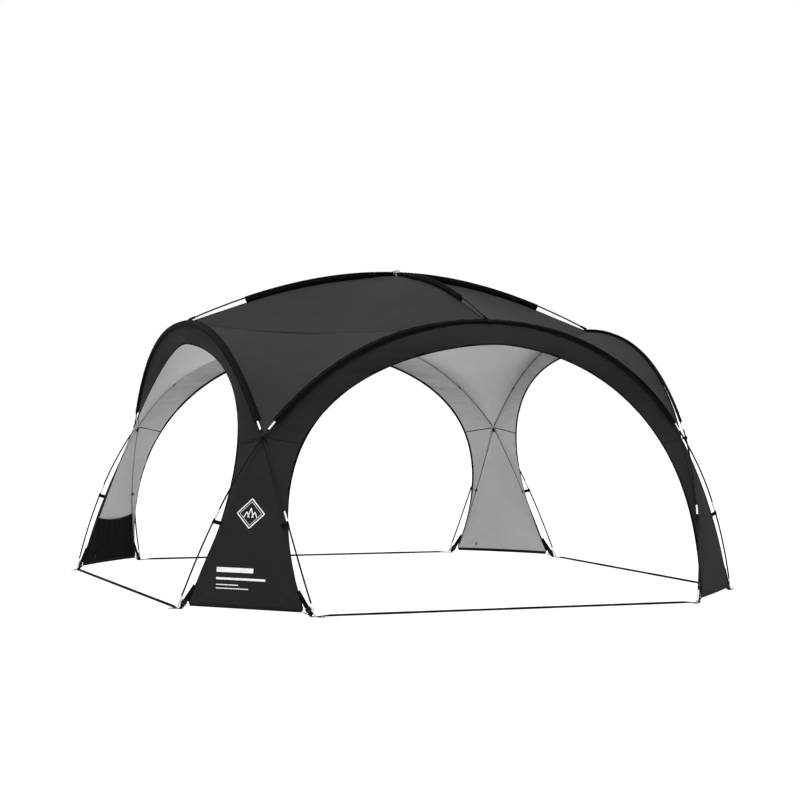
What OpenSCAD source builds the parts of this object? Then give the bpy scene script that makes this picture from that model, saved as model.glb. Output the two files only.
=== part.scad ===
// Dome tarp shelter: four arch poles that cross over four legs, two roof poles, and a sewn canopy.
// The front opening faces -Y, +X is to the right, and the ground is z = 0.

/* [Footprint and height] */
// Distance between opposite rows of pole feet
footprint = 4000; // [3800:50:4200]
// Distance between the two pole feet of one opening
opening_feet = 2660; // [2560:20:2760]
// Distance between opposite arch tops
arch_reach = 3156; // [3100:20:3220]
// Height of the arch poles at the top
arch_h = 1820; // [1760:10:1880]
// Height of the roof poles' crossing
roof_h = 2202; // [2140:10:2260]

/* [Canopy] */
// Height of each opening under its visor band
opening_h = 1670; // [1620:10:1700]
// Thickness of the plain canopy solids
cloth_t = 4; // [3:0.5:5]
// How far the roof cloth is pulled in between the poles
roof_pull = 240; // [160:10:280]
// How far the front and back visor bands flare outward at the top
main_flare = 120; // [0:10:140]
// How far the left and right visor bands flare outward at the top
side_flare = -10; // [-20:10:140]
// How far each hem corner is from its pole foot
hem_inset = 80; // [70:5:95]
// Height of the leg hems above the ground
hem_h = 34; // [30:2:50]
// Height of the storage pocket on the back left leg
pocket_h = 360; // [280:20:420]

/* [Poles] */
// Diameter of the pole sections
pole_d = 11; // [9.5:0.5:12]
// Number of sections in an arch pole
arch_sections = 9; // [7:1:9]
// Number of sections in a roof pole
roof_sections = 5; // [4:1:5]
// Length of each of the two sections at an arch pole's ends
end_section = 645; // [640:1:660]
// Length of a ferrule
ferrule_len = 65; // [50:5:80]
// Length of the metal tube at each pole foot
foot_tube_len = 87; // [70:1:100]

/* [Webbing] */
// Width of the corner and foot webbing
web_w = 30; // [25:1:34]
// Width of the ground tapes
tape_w = 20; // [14:2:24]
// Width of the flattened pole sleeves
sleeve_w = 50; // [44:2:56]

/* [Hidden] */
$fn = 32;

half = footprint / 2;
foot_x = opening_feet / 2;
top_out = arch_reach / 2;
pole_r = pole_d / 2;
pole_gap = 1.3;                       // half the space between two crossing poles
cross_lift = pole_r + pole_gap;       // each pole's shift from the crossing point
ferrule_r = pole_r + 1;
slip = 0.15;                          // radial play between a pole end and its ferrule
tip_r = 3.4;
tip_len = 16;
sleeve_rise = 10;                     // half height of a sleeve
sleeve_wall = 1.5;
seam_drop = 9;                        // the canopy seam lies this far under a sleeved arch pole
cross_drop = 22;                      // and this far under a crossing
leg_bow = 45;                         // outward bow of the leg seams
dome_centre = [0, 0, 700];
ring_step = 95;                       // spacing of rings along a swept pole

// Half curves run from a foot to the top, as [sideways, outward, up].
ARCH = [
    [half, foot_x, 0], [half - 202, foot_x + 181, 672],
    [half - 633, top_out, arch_h], [0, top_out, arch_h]
];
corner_xy = hem_inset / sqrt(2);
EDGE = [
    [foot_x + corner_xy, half - corner_xy, hem_h], [half - 315, half - 659, opening_h - 150],
    [266, top_out - 2, opening_h], [0, top_out - 2, opening_h]
];
roof_end = [top_out - 26, 0, arch_h + 15];

function unit(v) = v / norm(v);
function mix(a, b, f) = a + f * (b - a);
function bezier(c, t) =
    (1 - t)^3 * c[0] + 3 * (1 - t)^2 * t * c[1] + 3 * (1 - t) * t^2 * c[2] + t^3 * c[3];
function radial(p) = unit(p - dome_centre);

// Parameter at which rising function f reaches zero, by halving the interval.
function root(f, lo, hi, n = 24) =
    let (m = (lo + hi) / 2) n == 0 ? m : f(m) > 0 ? root(f, lo, m, n - 1) : root(f, m, hi, n - 1);

cross_t = root(function (t) let (p = bezier(ARCH, t)) p[1] - p[0], 0, 0.7);
cross_h = bezier(ARCH, cross_t)[2];
edge_seam_h = cross_h - 45;            // the visor meets the leg wings this low on the edge
edge_t = root(function (t) bezier(EDGE, t)[2] - edge_seam_h, 0, 0.7);

// Places a half-curve point on the front side; side is -1 for left and 1 for right.
function front(p, side) = [side * p[0], -p[1], p[2]];
// The same point on the side to the left, by mirroring about the front left diagonal.
function to_left(p) = [p[1], p[0], p[2]];

// Front arch pole's centre line for w from -1 (left foot) to 1 (right foot).
// It passes outside the other pole on its left and inside it on its right.
lift_reach = 0.09;                    // how far along the half curve the shift fades
function lift(w) =
    (w < 0 ? 1 : -1) * cross_lift * exp(-((1 - abs(w) - cross_t) / lift_reach)^2);
function arch_point(w) =
    let (p = front(bezier(ARCH, 1 - abs(w)), w < 0 ? -1 : 1)) p + lift(w) * radial(p);
function roof_point(w, rise) =
    let (
        h = roof_h + rise,
        c = [roof_end, roof_end + [-520, 0, 235], [520, 0, h], [0, 0, h]],
        p = bezier(c, 1 - abs(w))
    )
    [w < 0 ? -p[0] : p[0], 0, p[2]];

// A curve as look-up tables of x, y and z against length, with its whole length last.
function curve(points) =
    let (
        n = len(points),
        s = [for (i = 0, d = 0; i < n; d = d + norm(points[min(i + 1, n - 1)] - points[i]), i = i + 1) d]
    )
    [for (k = [0:2]) [for (i = [0:n - 1]) [s[i], points[i][k]]], s[n - 1]];
function at(c, s) = [lookup(s, c[0]), lookup(s, c[1]), lookup(s, c[2])];
function length(c) = c[3];
function heading(c, s) = unit(at(c, s + 5) - at(c, s - 5));

curve_steps = 160;
function spread_w(i) = 2 * i / curve_steps - 1;
arch_curve = curve([for (i = [0:curve_steps]) arch_point(spread_w(i))]);
cross_curve = curve([for (i = [0:curve_steps]) roof_point(spread_w(i), cross_lift)]);
fore_aft_curve = curve([for (i = [0:curve_steps]) roof_point(spread_w(i), -cross_lift)]);
cross_s = length(curve([for (i = [0:40]) arch_point(-1 + cross_t * i / 40)]));

// ---- swept solids ----
function ring_at(c, d, up, profile) =
    let (top = unit(up - (up * d) * d), side = cross(d, top))
    [for (p = profile) c + p[0] * side + p[1] * top];
function tangent(path, i) = unit(path[min(i + 1, len(path) - 1)] - path[max(i - 1, 0)]);
function oval(a, b, n) = [for (k = [0:n - 1]) let (r = 360 * (k + 0.5) / n) [a * cos(r), b * sin(r)]];
function flat(w, t) = [[w / 2, -t / 2], [w / 2, t / 2], [-w / 2, t / 2], [-w / 2, -t / 2]];
function wall_faces(n, m, base, flip) = [
    for (i = [0:n - 2], k = [0:m - 1])
        let (
            a = base + i * m + k, b = base + i * m + (k + 1) % m,
            c = b + m, d = a + m
        )
        each flip ? [[a, b, c], [a, c, d]] : [[a, c, b], [a, d, c]]
];

module sweep(path, profile, ups) {
    n = len(path);
    m = len(profile);
    points = [for (i = [0:n - 1]) each ring_at(path[i], tangent(path, i), ups[i], profile)];
    first = [for (k = [0:m - 1]) k];
    last = [for (k = [m - 1:-1:0]) (n - 1) * m + k];
    polyhedron(points, concat(wall_faces(n, m, 0, false), [first, last]), convexity = 6);
}

// An oval pipe of half width w whose half height changes along it.
module sweep_pipe(path, w, rises, wall, ups) {
    n = len(path);
    m = 8;
    base = n * m;
    points = [
        for (t = [0, wall], i = [0:n - 1])
            each ring_at(path[i], tangent(path, i), ups[i], oval(w - t, rises[i] - t, m))
    ];
    ends = [
        for (k = [0:m - 1])
            let (j = (k + 1) % m, e = (n - 1) * m)
            each [
                [k, j, base + j], [k, base + j, base + k],
                [e + k, base + e + j, e + j], [e + k, base + e + k, base + e + j]
            ]
    ];
    faces = concat(wall_faces(n, m, 0, false), wall_faces(n, m, base, true), ends);
    polyhedron(points, faces, convexity = 8);
}

function radials(path) = [for (p = path) radial(p)];

// A round bar from p to q.
module rod(p, q, r) {
    d = q - p;
    translate(p)
        rotate([0, acos(d[2] / norm(d)), atan2(d[1], d[0])])
            cylinder(h = norm(d), r = r);
}

// A flat bar from p to q whose width lies along wide.
module bar(p, q, wide, w, t) {
    d = unit(q - p);
    across = unit(wide - (wide * d) * d);
    through = cross(d, across);
    points = [
        for (e = [p, q], s = [[-1, -1], [1, -1], [1, 1], [-1, 1]])
            e + s[0] * w / 2 * across + s[1] * t / 2 * through
    ];
    polyhedron(points, [
        [0, 1, 2, 3], [7, 6, 5, 4], [1, 0, 4, 5], [2, 1, 5, 6], [3, 2, 6, 7], [0, 3, 7, 4]
    ]);
}

// ---- cloth solids ----
// A patch is a function of u and v; cross(dv, du) points out of the shelter.
function patch_normal(patch, u, v) =
    let (
        e = 0.02,
        du = patch(min(u + e, 1), v) - patch(max(u - e, 0), v),
        dv = patch(u, min(v + e, 1)) - patch(u, max(v - e, 0))
    )
    unit(cross(dv, du));
function skins(patch, uvs, outer, inner) = concat(
    [for (p = uvs) patch(p[0], p[1]) - outer * patch_normal(patch, p[0], p[1])],
    [for (p = uvs) patch(p[0], p[1]) - inner * patch_normal(patch, p[0], p[1])]
);
function closed(faces, loop, n) = concat(
    faces,
    [for (f = faces) [f[0] + n, f[2] + n, f[1] + n]],
    [
        for (k = [0:len(loop) - 1])
            let (a = loop[k], b = loop[(k + 1) % len(loop)])
            each [[b, a, a + n], [b, a + n, b + n]]
    ]
);

module cloth_grid(patch, nu, nv, outer = 0, inner = cloth_t) {
    function at_uv(i, j) = i * (nv + 1) + j;
    uvs = [for (i = [0:nu], j = [0:nv]) [i / nu, j / nv]];
    faces = [
        for (i = [0:nu - 1], j = [0:nv - 1])
            each [
                [at_uv(i, j), at_uv(i + 1, j), at_uv(i, j + 1)],
                [at_uv(i + 1, j), at_uv(i + 1, j + 1), at_uv(i, j + 1)]
            ]
    ];
    loop = concat(
        [for (i = [0:nu - 1]) at_uv(i, 0)], [for (j = [0:nv - 1]) at_uv(nu, j)],
        [for (i = [nu:-1:1]) at_uv(i, nv)], [for (j = [nv:-1:1]) at_uv(0, j)]
    );
    polyhedron(skins(patch, uvs, outer, inner), closed(faces, loop, len(uvs)), convexity = 6);
}

// Half of a square patch, cut along its u + v = 1 diagonal.
module cloth_triangle(patch, n, upper) {
    function at_uv(i, j) = i * (n + 1) - i * (i - 1) / 2 + j;
    uvs = [
        for (i = [0:n], j = [0:n - i])
            upper ? [i / n, j / n] : [1 - i / n, 1 - j / n]
    ];
    faces = concat(
        [for (i = [0:n - 1], j = [0:n - 1 - i]) [at_uv(i, j), at_uv(i + 1, j), at_uv(i, j + 1)]],
        [
            for (i = [0:1:n - 2], j = [0:1:n - 2 - i])
                [at_uv(i + 1, j), at_uv(i + 1, j + 1), at_uv(i, j + 1)]
        ]
    );
    loop = concat(
        [for (i = [0:n - 1]) at_uv(i, 0)], [for (i = [n:-1:1]) at_uv(i, n - i)],
        [for (j = [n:-1:1]) at_uv(0, j)]
    );
    polyhedron(skins(patch, uvs, 0, cloth_t), closed(faces, loop, len(uvs)), convexity = 6);
}

// ---- canopy lines, all on the front and the front left ----
// Seam under the front arch pole, for f from 0 (top) to 1 (crossing).
function arch_seam(f, side) =
    let (
        p = front(bezier(ARCH, 1 - f * (1 - cross_t)), side),
        drop = seam_drop + (cross_drop - seam_drop) * f^6
    )
    p - drop * radial(p);
// Seam under a roof pole, for f from 0 (crossing) to 1 (arch top): sleeved, then drawn straight.
sleeve_from = 170;
sleeve_to = 1140;
roof_drop = 36;                       // the roof seam lies this far under a sleeved roof pole
apex_lift = 21;                       // and this much less where the roof poles cross
apex_reach = 220;                     // how far from there the lift fades
function pole_over(x) =
    let (w = root(function (w) roof_point(w, 0)[0] - x, 0, 1)) roof_point(w, 0)[2];
function roof_seam_h(x) =
    x < sleeve_to
        ? pole_over(x) - roof_drop + apex_lift * exp(-(x / apex_reach)^2)
        : mix(
            pole_over(sleeve_to) - roof_drop, arch_seam(0, 1)[2],
            (x - sleeve_to) / (top_out - sleeve_to)
        );
function roof_seam(f) =
    let (x = f * norm([arch_seam(0, 1)[0], arch_seam(0, 1)[1]])) [0, -x, roof_seam_h(x)];

// Roof quadrant at the front left: u runs to the front arch, v to the left arch.
quadrant = function (u, v)
    let (
        low = roof_seam(u), high = to_left(arch_seam(u, -1)),
        near = to_left(roof_seam(v)), far = arch_seam(v, -1),
        c00 = roof_seam(0), c10 = roof_seam(1), c01 = to_left(c10), c11 = arch_seam(1, -1),
        ruled = mix(low, high, v) + mix(near, far, u),
        corners = mix(mix(c00, c10, u), mix(c01, c11, u), v),
        pull = roof_pull * 16 * u * (1 - u) * v * (1 - v)
    )
    ruled - corners + pull * unit([1, 1, -3.7]);

// Opening edge, for g from 0 (top) to 1 (crossing height) and for the leg below.
function flare(k) = k % 2 == 0 ? main_flare : side_flare;
function edge_upper(g, side, k) =
    front(bezier(EDGE, 1 - g * (1 - edge_t)) + [0, flare(k) * (1 - g^2)^2, 0], side);
function edge_lower(g, side) = front(bezier(EDGE, edge_t * g), side);
hem_corner = front(EDGE[0], -1);
// Fold of the front left leg on its front side, for g from 0 (hem) to 1 (crossing).
function leg_seam(g) =
    let (top = arch_seam(1, -1), p = mix(hem_corner, top, g), bow = 4 * g * (1 - g))
    p + leg_bow * bow * radial(p);

// Visor of side k: u runs from its left crossing to its right one, v from the edge to the seam.
visor = function (k) function (u, v)
    let (w = 2 * u - 1, side = w < 0 ? -1 : 1, f = abs(w))
    mix(arch_seam(f, side), edge_upper(f, side, k), 1 - v);
// Front left leg panel: u runs up, v runs from the front fold to the left one.
leg_top = 0.975;
leg_belly = 12;                       // outward bulge of the leg panel at the hem
leg_panel = function (u, v)
    let (g = u * leg_top, a = leg_seam(g), b = to_left(a), m = unit([-1, -1, 0.25]))
    mix(a, b, v) + leg_belly * 4 * v * (1 - v) * (1 - g) * m;
// Wing between the leg's front fold and the opening's edge.
wing_from = 0.03;
wing = function (u, v)
    let (g = mix(wing_from, 1, u))
    mix(edge_lower(g, -1), leg_seam(g), v);

// Repeats its children on one side: 0 front, 1 right, 2 back, 3 left.
module turn(k) {
    rotate([0, 0, 90 * k])
        children();
}
module four() {
    for (k = [0:3])
        turn(k)
            children();
}
// Mirrors its children from the front fold of a leg to the left fold as well.
module both_folds() {
    children();
    mirror([1, -1, 0])
        children();
}

// ---- poles ----
function steps(a, b) = let (n = ceil((b - a) / ring_step)) [for (i = [0:n]) mix(a, b, i / n)];
function joint_mid(c, s) = (at(c, s - ferrule_len / 2) + at(c, s + ferrule_len / 2)) / 2;
function joint_dir(c, s) = unit(at(c, s + ferrule_len / 2) - at(c, s - ferrule_len / 2));

// Where joint k of n lies along a pole: the arch poles' two end sections each have their own length.
function joint_s(c, k, n) =
    let (total = length(c), even = k * total / n, end = min(k, n - k) * end_section)
    n == roof_sections ? even
    : k <= 2 ? end
    : k >= n - 2 ? total - end
    : mix(2 * end_section, total - 2 * end_section, (k - 2) / (n - 4));

// Section k of n: its ends lie straight inside the ferrules and end sockets.
// An end socket starts at length start, and holds depth of the pole.
function end_dir(c, start) = unit(at(c, start) - at(c, 0));
function far_dir(c, start) = unit(at(c, length(c) - start) - at(c, length(c)));
function section_path(c, k, n, start, depth) =
    let (
        s0 = joint_s(c, k, n), s1 = joint_s(c, k + 1, n), h = ferrule_len / 2,
        a = k == 0 ? start : s0 + h,
        b = k == n - 1 ? length(c) - start : s1 - h
    )
    concat(
        [k == 0 ? at(c, a) - depth * end_dir(c, start) : joint_mid(c, s0) + 0.5 * joint_dir(c, s0)],
        [for (s = steps(a, b)) at(c, s)],
        [k == n - 1 ? at(c, b) - depth * far_dir(c, start) : joint_mid(c, s1) - 0.5 * joint_dir(c, s1)]
    );

module pole(c, n, start, depth) {
    color([0.07, 0.07, 0.07])
        for (k = [0:n - 1]) {
            path = section_path(c, k, n, start, depth);
            sweep(path, oval(pole_r, pole_r, 8), radials(path));
        }
}

module arch_pole(k) {
    turn(k)
        pole(arch_curve, arch_sections, foot_tube_len, pole_end);
}

module roof_pole(c, k) {
    turn(k)
        pole(c, roof_sections, cup_len, pole_end);
}

module ferrules(c, n) {
    for (k = [1:n - 1]) {
        s = joint_s(c, k, n);
        d = joint_dir(c, s) * ferrule_len / 2;
        m = joint_mid(c, s);
        difference() {
            rod(m - d, m + d, ferrule_r);
            rod(m - 1.1 * d, m + 1.1 * d, pole_r + slip);
        }
    }
}

module pole_ferrules() {
    color("silver") {
        four()
            ferrules(arch_curve, arch_sections);
        ferrules(cross_curve, roof_sections);
        turn(1)
            ferrules(fore_aft_curve, roof_sections);
    }
}

// A tube along dir that ends at top, closed at its bottom, with a socket for a pole end.
module end_socket(top, dir, len, r) {
    difference() {
        rod(top - len * dir, top, r);
        rod(top - (pole_end + 3) * dir, top + dir, pole_r + slip);
    }
}

// The metal foot of a pole: its tip stands on the ground, inside a grommet.
pole_end = 44;                        // how much of a pole end its socket holds
foot_dir = end_dir(arch_curve, foot_tube_len);
foot_top = at(arch_curve, foot_tube_len);
tip_from = at(arch_curve, 0) + tip_r * sqrt(1 - foot_dir[2]^2) / foot_dir[2] * foot_dir;

module pole_foot_tubes() {
    color("silver")
        four()
            both_folds() {
                end_socket(foot_top, foot_dir, foot_tube_len - tip_len, ferrule_r);
                rod(tip_from, at(arch_curve, 0) + tip_len * foot_dir, tip_r);
            }
}

// Webbing cups on the arch sleeves that hold the roof poles' ends.
cup_len = 54;
cup_r = pole_r + 3;
module cup(c) {
    for (s = [[cup_len, end_dir(c, cup_len)], [length(c) - cup_len, far_dir(c, cup_len)]])
        end_socket(at(c, s[0]), s[1], cup_len, cup_r);
}
module roof_pole_pockets() {
    color([0.1, 0.1, 0.1]) {
        cup(cross_curve);
        turn(1)
            cup(fore_aft_curve);
    }
}

// ---- sleeves ----
sleeve_start = 130;                   // a sleeve starts this far above the crossing
seam_bite = 2.5;                      // a sleeve reaches this far past its seam
// A sleeve round a pole; depths gives how far it reaches under each point of the line.
module sleeve(line, depths) {
    outs = radials(line);
    path = [for (i = [0:len(line) - 1]) line[i] + (sleeve_rise - depths[i]) / 2 * outs[i]];
    rises = [for (d = depths) (sleeve_rise + d) / 2];
    color([0.05, 0.05, 0.05])
        sweep_pipe(path, sleeve_w / 2, rises, sleeve_wall, outs);
}
module arch_sleeve(k) {
    from = cross_s + sleeve_start;
    line = [for (s = steps(from, length(arch_curve) - from)) at(arch_curve, s)];
    turn(k)
        sleeve(line, [for (p = line) seam_drop + seam_bite]);
}
function roof_s(c, x) = root(function (s) at(c, s)[0] - x, 0, length(c));
module roof_sleeve(c, k, x0, x1) {
    line = [for (s = steps(roof_s(c, x0), roof_s(c, x1))) at(c, s)];
    turn(k)
        sleeve(line, [for (p = line) p[2] - roof_seam_h(abs(p[0])) + seam_bite]);
}

// ---- canopy panels ----
module cloth_color() {
    color([0.22, 0.22, 0.22])
        children();
}
module roof_panel(k) {
    cloth_color()
        turn(k)
            cloth_triangle(quadrant, 10, true);
}
module shoulder(k) {
    cloth_color()
        turn(k)
            cloth_triangle(quadrant, 10, false);
}
module visor_band(k) {
    cloth_color()
        turn(k)
            cloth_grid(visor(k), 28, 2);
}
module leg(k) {
    cloth_color()
        turn(k)
            cloth_grid(leg_panel, 8, 4);
}
module leg_wings(k) {
    cloth_color()
        turn(k) {
            cloth_grid(wing, 8, 1);
            mirror([1, 0, 0])
                cloth_grid(wing, 8, 1);
        }
}

// ---- tapes and trim ----
binding_w = 14;
binding_t = 7;
edge_steps = 16;
module opening_binding(k) {
    low = [for (i = [0:edge_steps]) edge_lower(i / edge_steps, -1)];
    over = [
        for (i = [1:2 * edge_steps - 1])
            let (w = i / edge_steps - 1) edge_upper(abs(w), w < 0 ? -1 : 1, k)
    ];
    down = [for (i = [edge_steps:-1:0]) edge_lower(i / edge_steps, 1)];
    path = [for (p = concat(low, over, down)) p - cloth_t / 2 * radial(p)];
    turn(k)
        sweep(path, flat(binding_w, binding_t), radials(path));
}
module opening_bindings() {
    color([0.04, 0.04, 0.04])
        for (k = [0:3])
            opening_binding(k);
}

hem_tape_w = 24;
hem_tape_t = 7;
hem_out = unit([-1, -1, 0]);
hem_mid = cloth_t / 2 * hem_out;
module hem_tapes() {
    a = hem_corner - hem_mid;
    color([0.05, 0.05, 0.05])
        four()
            bar(a, to_left(a), [0, 0, 1], hem_tape_w, hem_tape_t);
}

// Reinforced cloth at each hem corner, on the outside of the leg panel.
patch_rise = 0.13;                    // fraction of the leg's height that a patch covers
patch_reach = 0.16;                   // and of its width
function corner_patch(u, v) = leg_panel(u * patch_rise, (1 - u) * v * patch_reach);
module corner_patches() {
    color([0.04, 0.04, 0.04])
        four()
            both_folds()
                cloth_grid(corner_patch_cut, 3, 1, -2.2, -0.2);
}
corner_patch_cut = function (u, v) corner_patch(0.92 * u, v);
// Corner webbing from the leg's fold and from the hem to the foot tab.
foot = front([foot_x, half, 0], -1);
tab_t = 2.6;
tab_lift = 0.4;
web_t = 2;
strap_grip = 0.115;                   // where the webbing is sewn, as a fraction of the fold
strap_dir = unit(hem_corner - [0, 0, hem_h] - foot);
strap_high = leg_seam(strap_grip) + 2 * hem_out;
strap_from = 24;                      // its lower end, from the pole tip along the tab
strap_low = foot + strap_from * strap_dir + [0, 0, tab_lift + tab_t + 3];
strap_wide = cross(strap_high - strap_low, [1, 1, 0]);
hem_strap_w = 16;
hem_strap_low = foot + strap_from * strap_dir + [0, 0, tab_lift + tab_t + web_t / 2];
hem_strap_high = hem_corner - [0, 0, 10];
module corner_straps() {
    color([0.06, 0.06, 0.06])
        four()
            both_folds() {
                bar(strap_low, strap_high, strap_wide, web_w, web_t);
                bar(hem_strap_low, hem_strap_high, [1, 1, 0], hem_strap_w, web_t);
            }
}

// A sliding buckle round the corner webbing.
buckle_play = 0.6;
buckle_wall = 3.2;
buckle_len = 26;
buckle_s = 0.25;                      // where it sits along the webbing at rest
buckle_bar_at = 0.14;                 // its cross bars' middles, from each end
buckle_bar_len = 0.26;                // and their size along it
module buckle_body() {
    d = unit(strap_high - strap_low);
    m = mix(strap_low, strap_high, buckle_s);
    wide = unit(strap_wide - (strap_wide * d) * d);
    thick = cross(d, wide);
    w = web_w / 2 + buckle_play;
    t = web_t / 2 + buckle_play;
    a = m - d * buckle_len / 2;
    b = m + d * buckle_len / 2;
    for (s = [-1, 1]) {
        side = s * (w + buckle_wall / 2) * wide;
        bar(a + side, b + side, wide, buckle_wall, 2 * t + 2 * buckle_wall);
    }
    reach = buckle_bar_len / 2 * (b - a);
    for (e = [buckle_bar_at, 1 - buckle_bar_at], s = [-1, 1]) {
        c = mix(a, b, e) + s * (t + buckle_wall / 2) * thick;
        bar(c - reach, c + reach, wide, 2 * w + buckle_wall, buckle_wall);
    }
}
module buckle(n) {
    color([0.03, 0.03, 0.03])
        turn(floor(n / 2))
            if (n % 2 == 0)
                buckle_body();
            else
                mirror([1, -1, 0])
                    buckle_body();
}

// Webbing tab on the ground at each foot, with grommets for the pole tip and for a peg.
grommet_r = 10;
grommet_bore = 5.5;
grommet_t = 3.6;
peg_reach = 46;                       // from the pole tip to the peg's grommet
tab_inner = 34;                       // the tab's length inside the pole tip
tab_outer = 16;                       // and beyond the peg's grommet
peg_at = foot - peg_reach * strap_dir;
module foot_tabs() {
    color([0.06, 0.06, 0.06])
        four()
            both_folds()
                translate([foot[0], foot[1], tab_lift])
                    rotate([0, 0, atan2(strap_dir[1], strap_dir[0])])
                        difference() {
                            translate([-peg_reach - tab_outer, -web_w / 2, 0])
                                cube([tab_outer + peg_reach + tab_inner, web_w, tab_t]);
                            for (x = [0, -peg_reach])
                                translate([x, 0, -1])
                                    cylinder(h = tab_t + 2, r = grommet_r);
                        }
}
module grommet(p) {
    translate([p[0], p[1], 0])
        difference() {
            cylinder(h = grommet_t, r = grommet_r);
            translate([0, 0, -1])
                cylinder(h = grommet_t + 2, r = grommet_bore);
        }
}
module tip_grommets() {
    color("silver")
        four()
            both_folds()
                grommet(foot);
}
module peg_grommets() {
    color("silver")
        four()
            both_folds()
                grommet(peg_at);
}

// Webbing from each leg fold to the pole outside it, with a loop round the pole.
mid_strap_s = 592;
mid_strap_w = 25;
mid_loop_r = pole_r + 3;
// The pole over the front fold of the front left leg is the left arch's; this is its mirror.
mid_pole = to_left(at(arch_curve, mid_strap_s));
mid_dir = to_left(heading(arch_curve, mid_strap_s));
mid_half = mid_strap_w / 2 * mid_dir;
mid_play = 0.5;                       // between the loop and the pole
mid_g = root(function (g) leg_seam(g)[2] - mid_pole[2] + 12, 0, 1);
mid_in = unit(leg_seam(mid_g) - mid_pole);
module mid_leg_straps() {
    color([0.05, 0.05, 0.05])
        four()
            both_folds() {
                difference() {
                    rod(mid_pole - mid_half, mid_pole + mid_half, mid_loop_r);
                    rod(mid_pole - 2 * mid_half, mid_pole + 2 * mid_half, pole_r + mid_play);
                }
                bar(mid_pole + (mid_loop_r - 0.6) * mid_in, leg_seam(mid_g), mid_dir, mid_strap_w, web_t);
            }
}

// Webbing loops round the crossing poles, over each leg and at the top.
tie_wall = 2.5;
module oval_loop(a, b, h) {
    linear_extrude(height = h, center = true)
        difference() {
            polygon(oval(a + tie_wall, b + tie_wall, 24));
            polygon(oval(a, b, 24));
        }
}
crossing = front(bezier(ARCH, cross_t), -1);
module crossing_ties() {
    color([0.05, 0.05, 0.05]) {
        four()
            translate(crossing)
                rotate([0, 0, 225])
                    rotate([0, -atan2(crossing[2] - dome_centre[2], norm([crossing[0], crossing[1]])), 0])
                        oval_loop(17, 13.5, 18);
        translate([0, 0, roof_h])
            rotate([0, 0, 45])
                rotate([90, 0, 0])
                    oval_loop(19, 19, 8);
    }
}

// Short toggles inside the canopy, for hanging side walls.
toggle_r = 4;
toggle_len = 26;
toggle_gap = 7;                       // from the seam to the toggle
module toggle(p, along) {
    c = p - (cloth_t + toggle_gap) * radial(p);
    rod(c - toggle_len / 2 * along, c + toggle_len / 2 * along, toggle_r);
    rod(c - 2 * radial(p), p - (cloth_t - 1) * radial(p), 1.8);
}
toggle_f = 0.72;
hem_toggle = 0.2;
arch_toggle = arch_seam(toggle_f, -1);
fold_toggle = leg_seam(mid_g);
module wall_toggles() {
    color([0.04, 0.04, 0.04])
        four() {
            both_folds() {
                toggle(arch_toggle, unit(arch_seam(toggle_f + 0.05, -1) - arch_toggle));
                toggle(fold_toggle, unit(leg_seam(mid_g + 0.05) - fold_toggle));
            }
            toggle(leg_panel(1, 0.5), [0, 0, 1]);
            toggle(leg_panel(0.03, hem_toggle), [0, 0, 1]);
        }
}

// Dark pocket sewn inside the lower part of the back left leg.
pocket_g = pocket_h / cross_h;
pocket_sag = 0.03;
pocket_patch = function (u, v)
    leg_panel(mix(0.03, pocket_g - pocket_sag * 4 * v * (1 - v), u), mix(0.03, 0.97, v));
module storage_pocket() {
    color([0.04, 0.04, 0.04])
        turn(3)
            cloth_grid(pocket_patch, 4, 8, cloth_t + 0.4, cloth_t + 3);
}

// Ground tape along the front: its points run from foot to foot, as parts of the opening.
TAPE = [for (i = [-8:8]) i / 8];
tape_t = 2.4;
module ground_tape(k) {
    path = [for (f = TAPE) [f * (foot_x - 12), -half, tab_lift + tab_t + tape_t / 2 - 0.4]];
    color([0.05, 0.05, 0.05])
        turn(k)
            sweep(path, oval(tape_w / 2, tape_t / 2, 8), [for (p = path) [0, 0, 1]]);
}

arch_pole(0);  // front_arch_pole
arch_pole(1);  // right_arch_pole
arch_pole(2);  // back_arch_pole
arch_pole(3);  // left_arch_pole
roof_pole(cross_curve, 0);  // cross_roof_pole
roof_pole(fore_aft_curve, 1);  // fore_aft_roof_pole
pole_ferrules();
pole_foot_tubes();
arch_sleeve(0);  // front_arch_sleeve
arch_sleeve(1);  // right_arch_sleeve
arch_sleeve(2);  // back_arch_sleeve
arch_sleeve(3);  // left_arch_sleeve
roof_sleeve(cross_curve, 0, sleeve_from, sleeve_to);  // right_roof_sleeve
roof_sleeve(cross_curve, 0, -sleeve_to, -sleeve_from);  // left_roof_sleeve
roof_sleeve(fore_aft_curve, 1, sleeve_from, sleeve_to);  // back_roof_sleeve
roof_sleeve(fore_aft_curve, 1, -sleeve_to, -sleeve_from);  // front_roof_sleeve
roof_panel(0);  // front_left_roof_panel
roof_panel(1);  // front_right_roof_panel
roof_panel(2);  // back_right_roof_panel
roof_panel(3);  // back_left_roof_panel
shoulder(0);  // front_left_shoulder
shoulder(1);  // front_right_shoulder
shoulder(2);  // back_right_shoulder
shoulder(3);  // back_left_shoulder
visor_band(0);  // front_visor
visor_band(1);  // right_visor
visor_band(2);  // back_visor
visor_band(3);  // left_visor
leg(0);  // front_left_leg
leg(1);  // front_right_leg
leg(2);  // back_right_leg
leg(3);  // back_left_leg
leg_wings(0);  // front_leg_wings
leg_wings(1);  // right_leg_wings
leg_wings(2);  // back_leg_wings
leg_wings(3);  // left_leg_wings
opening_bindings();
hem_tapes();
corner_patches();
corner_straps();
foot_tabs();
tip_grommets();
peg_grommets();
mid_leg_straps();
crossing_ties();
roof_pole_pockets();
wall_toggles();
storage_pocket();
ground_tape(0);  // front_ground_tape
ground_tape(1);  // right_ground_tape
ground_tape(2);  // back_ground_tape
ground_tape(3);  // left_ground_tape
buckle(0);  // front_left_buckle_front
buckle(1);  // front_left_buckle_left
buckle(2);  // front_right_buckle_right
buckle(3);  // front_right_buckle_front
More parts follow.
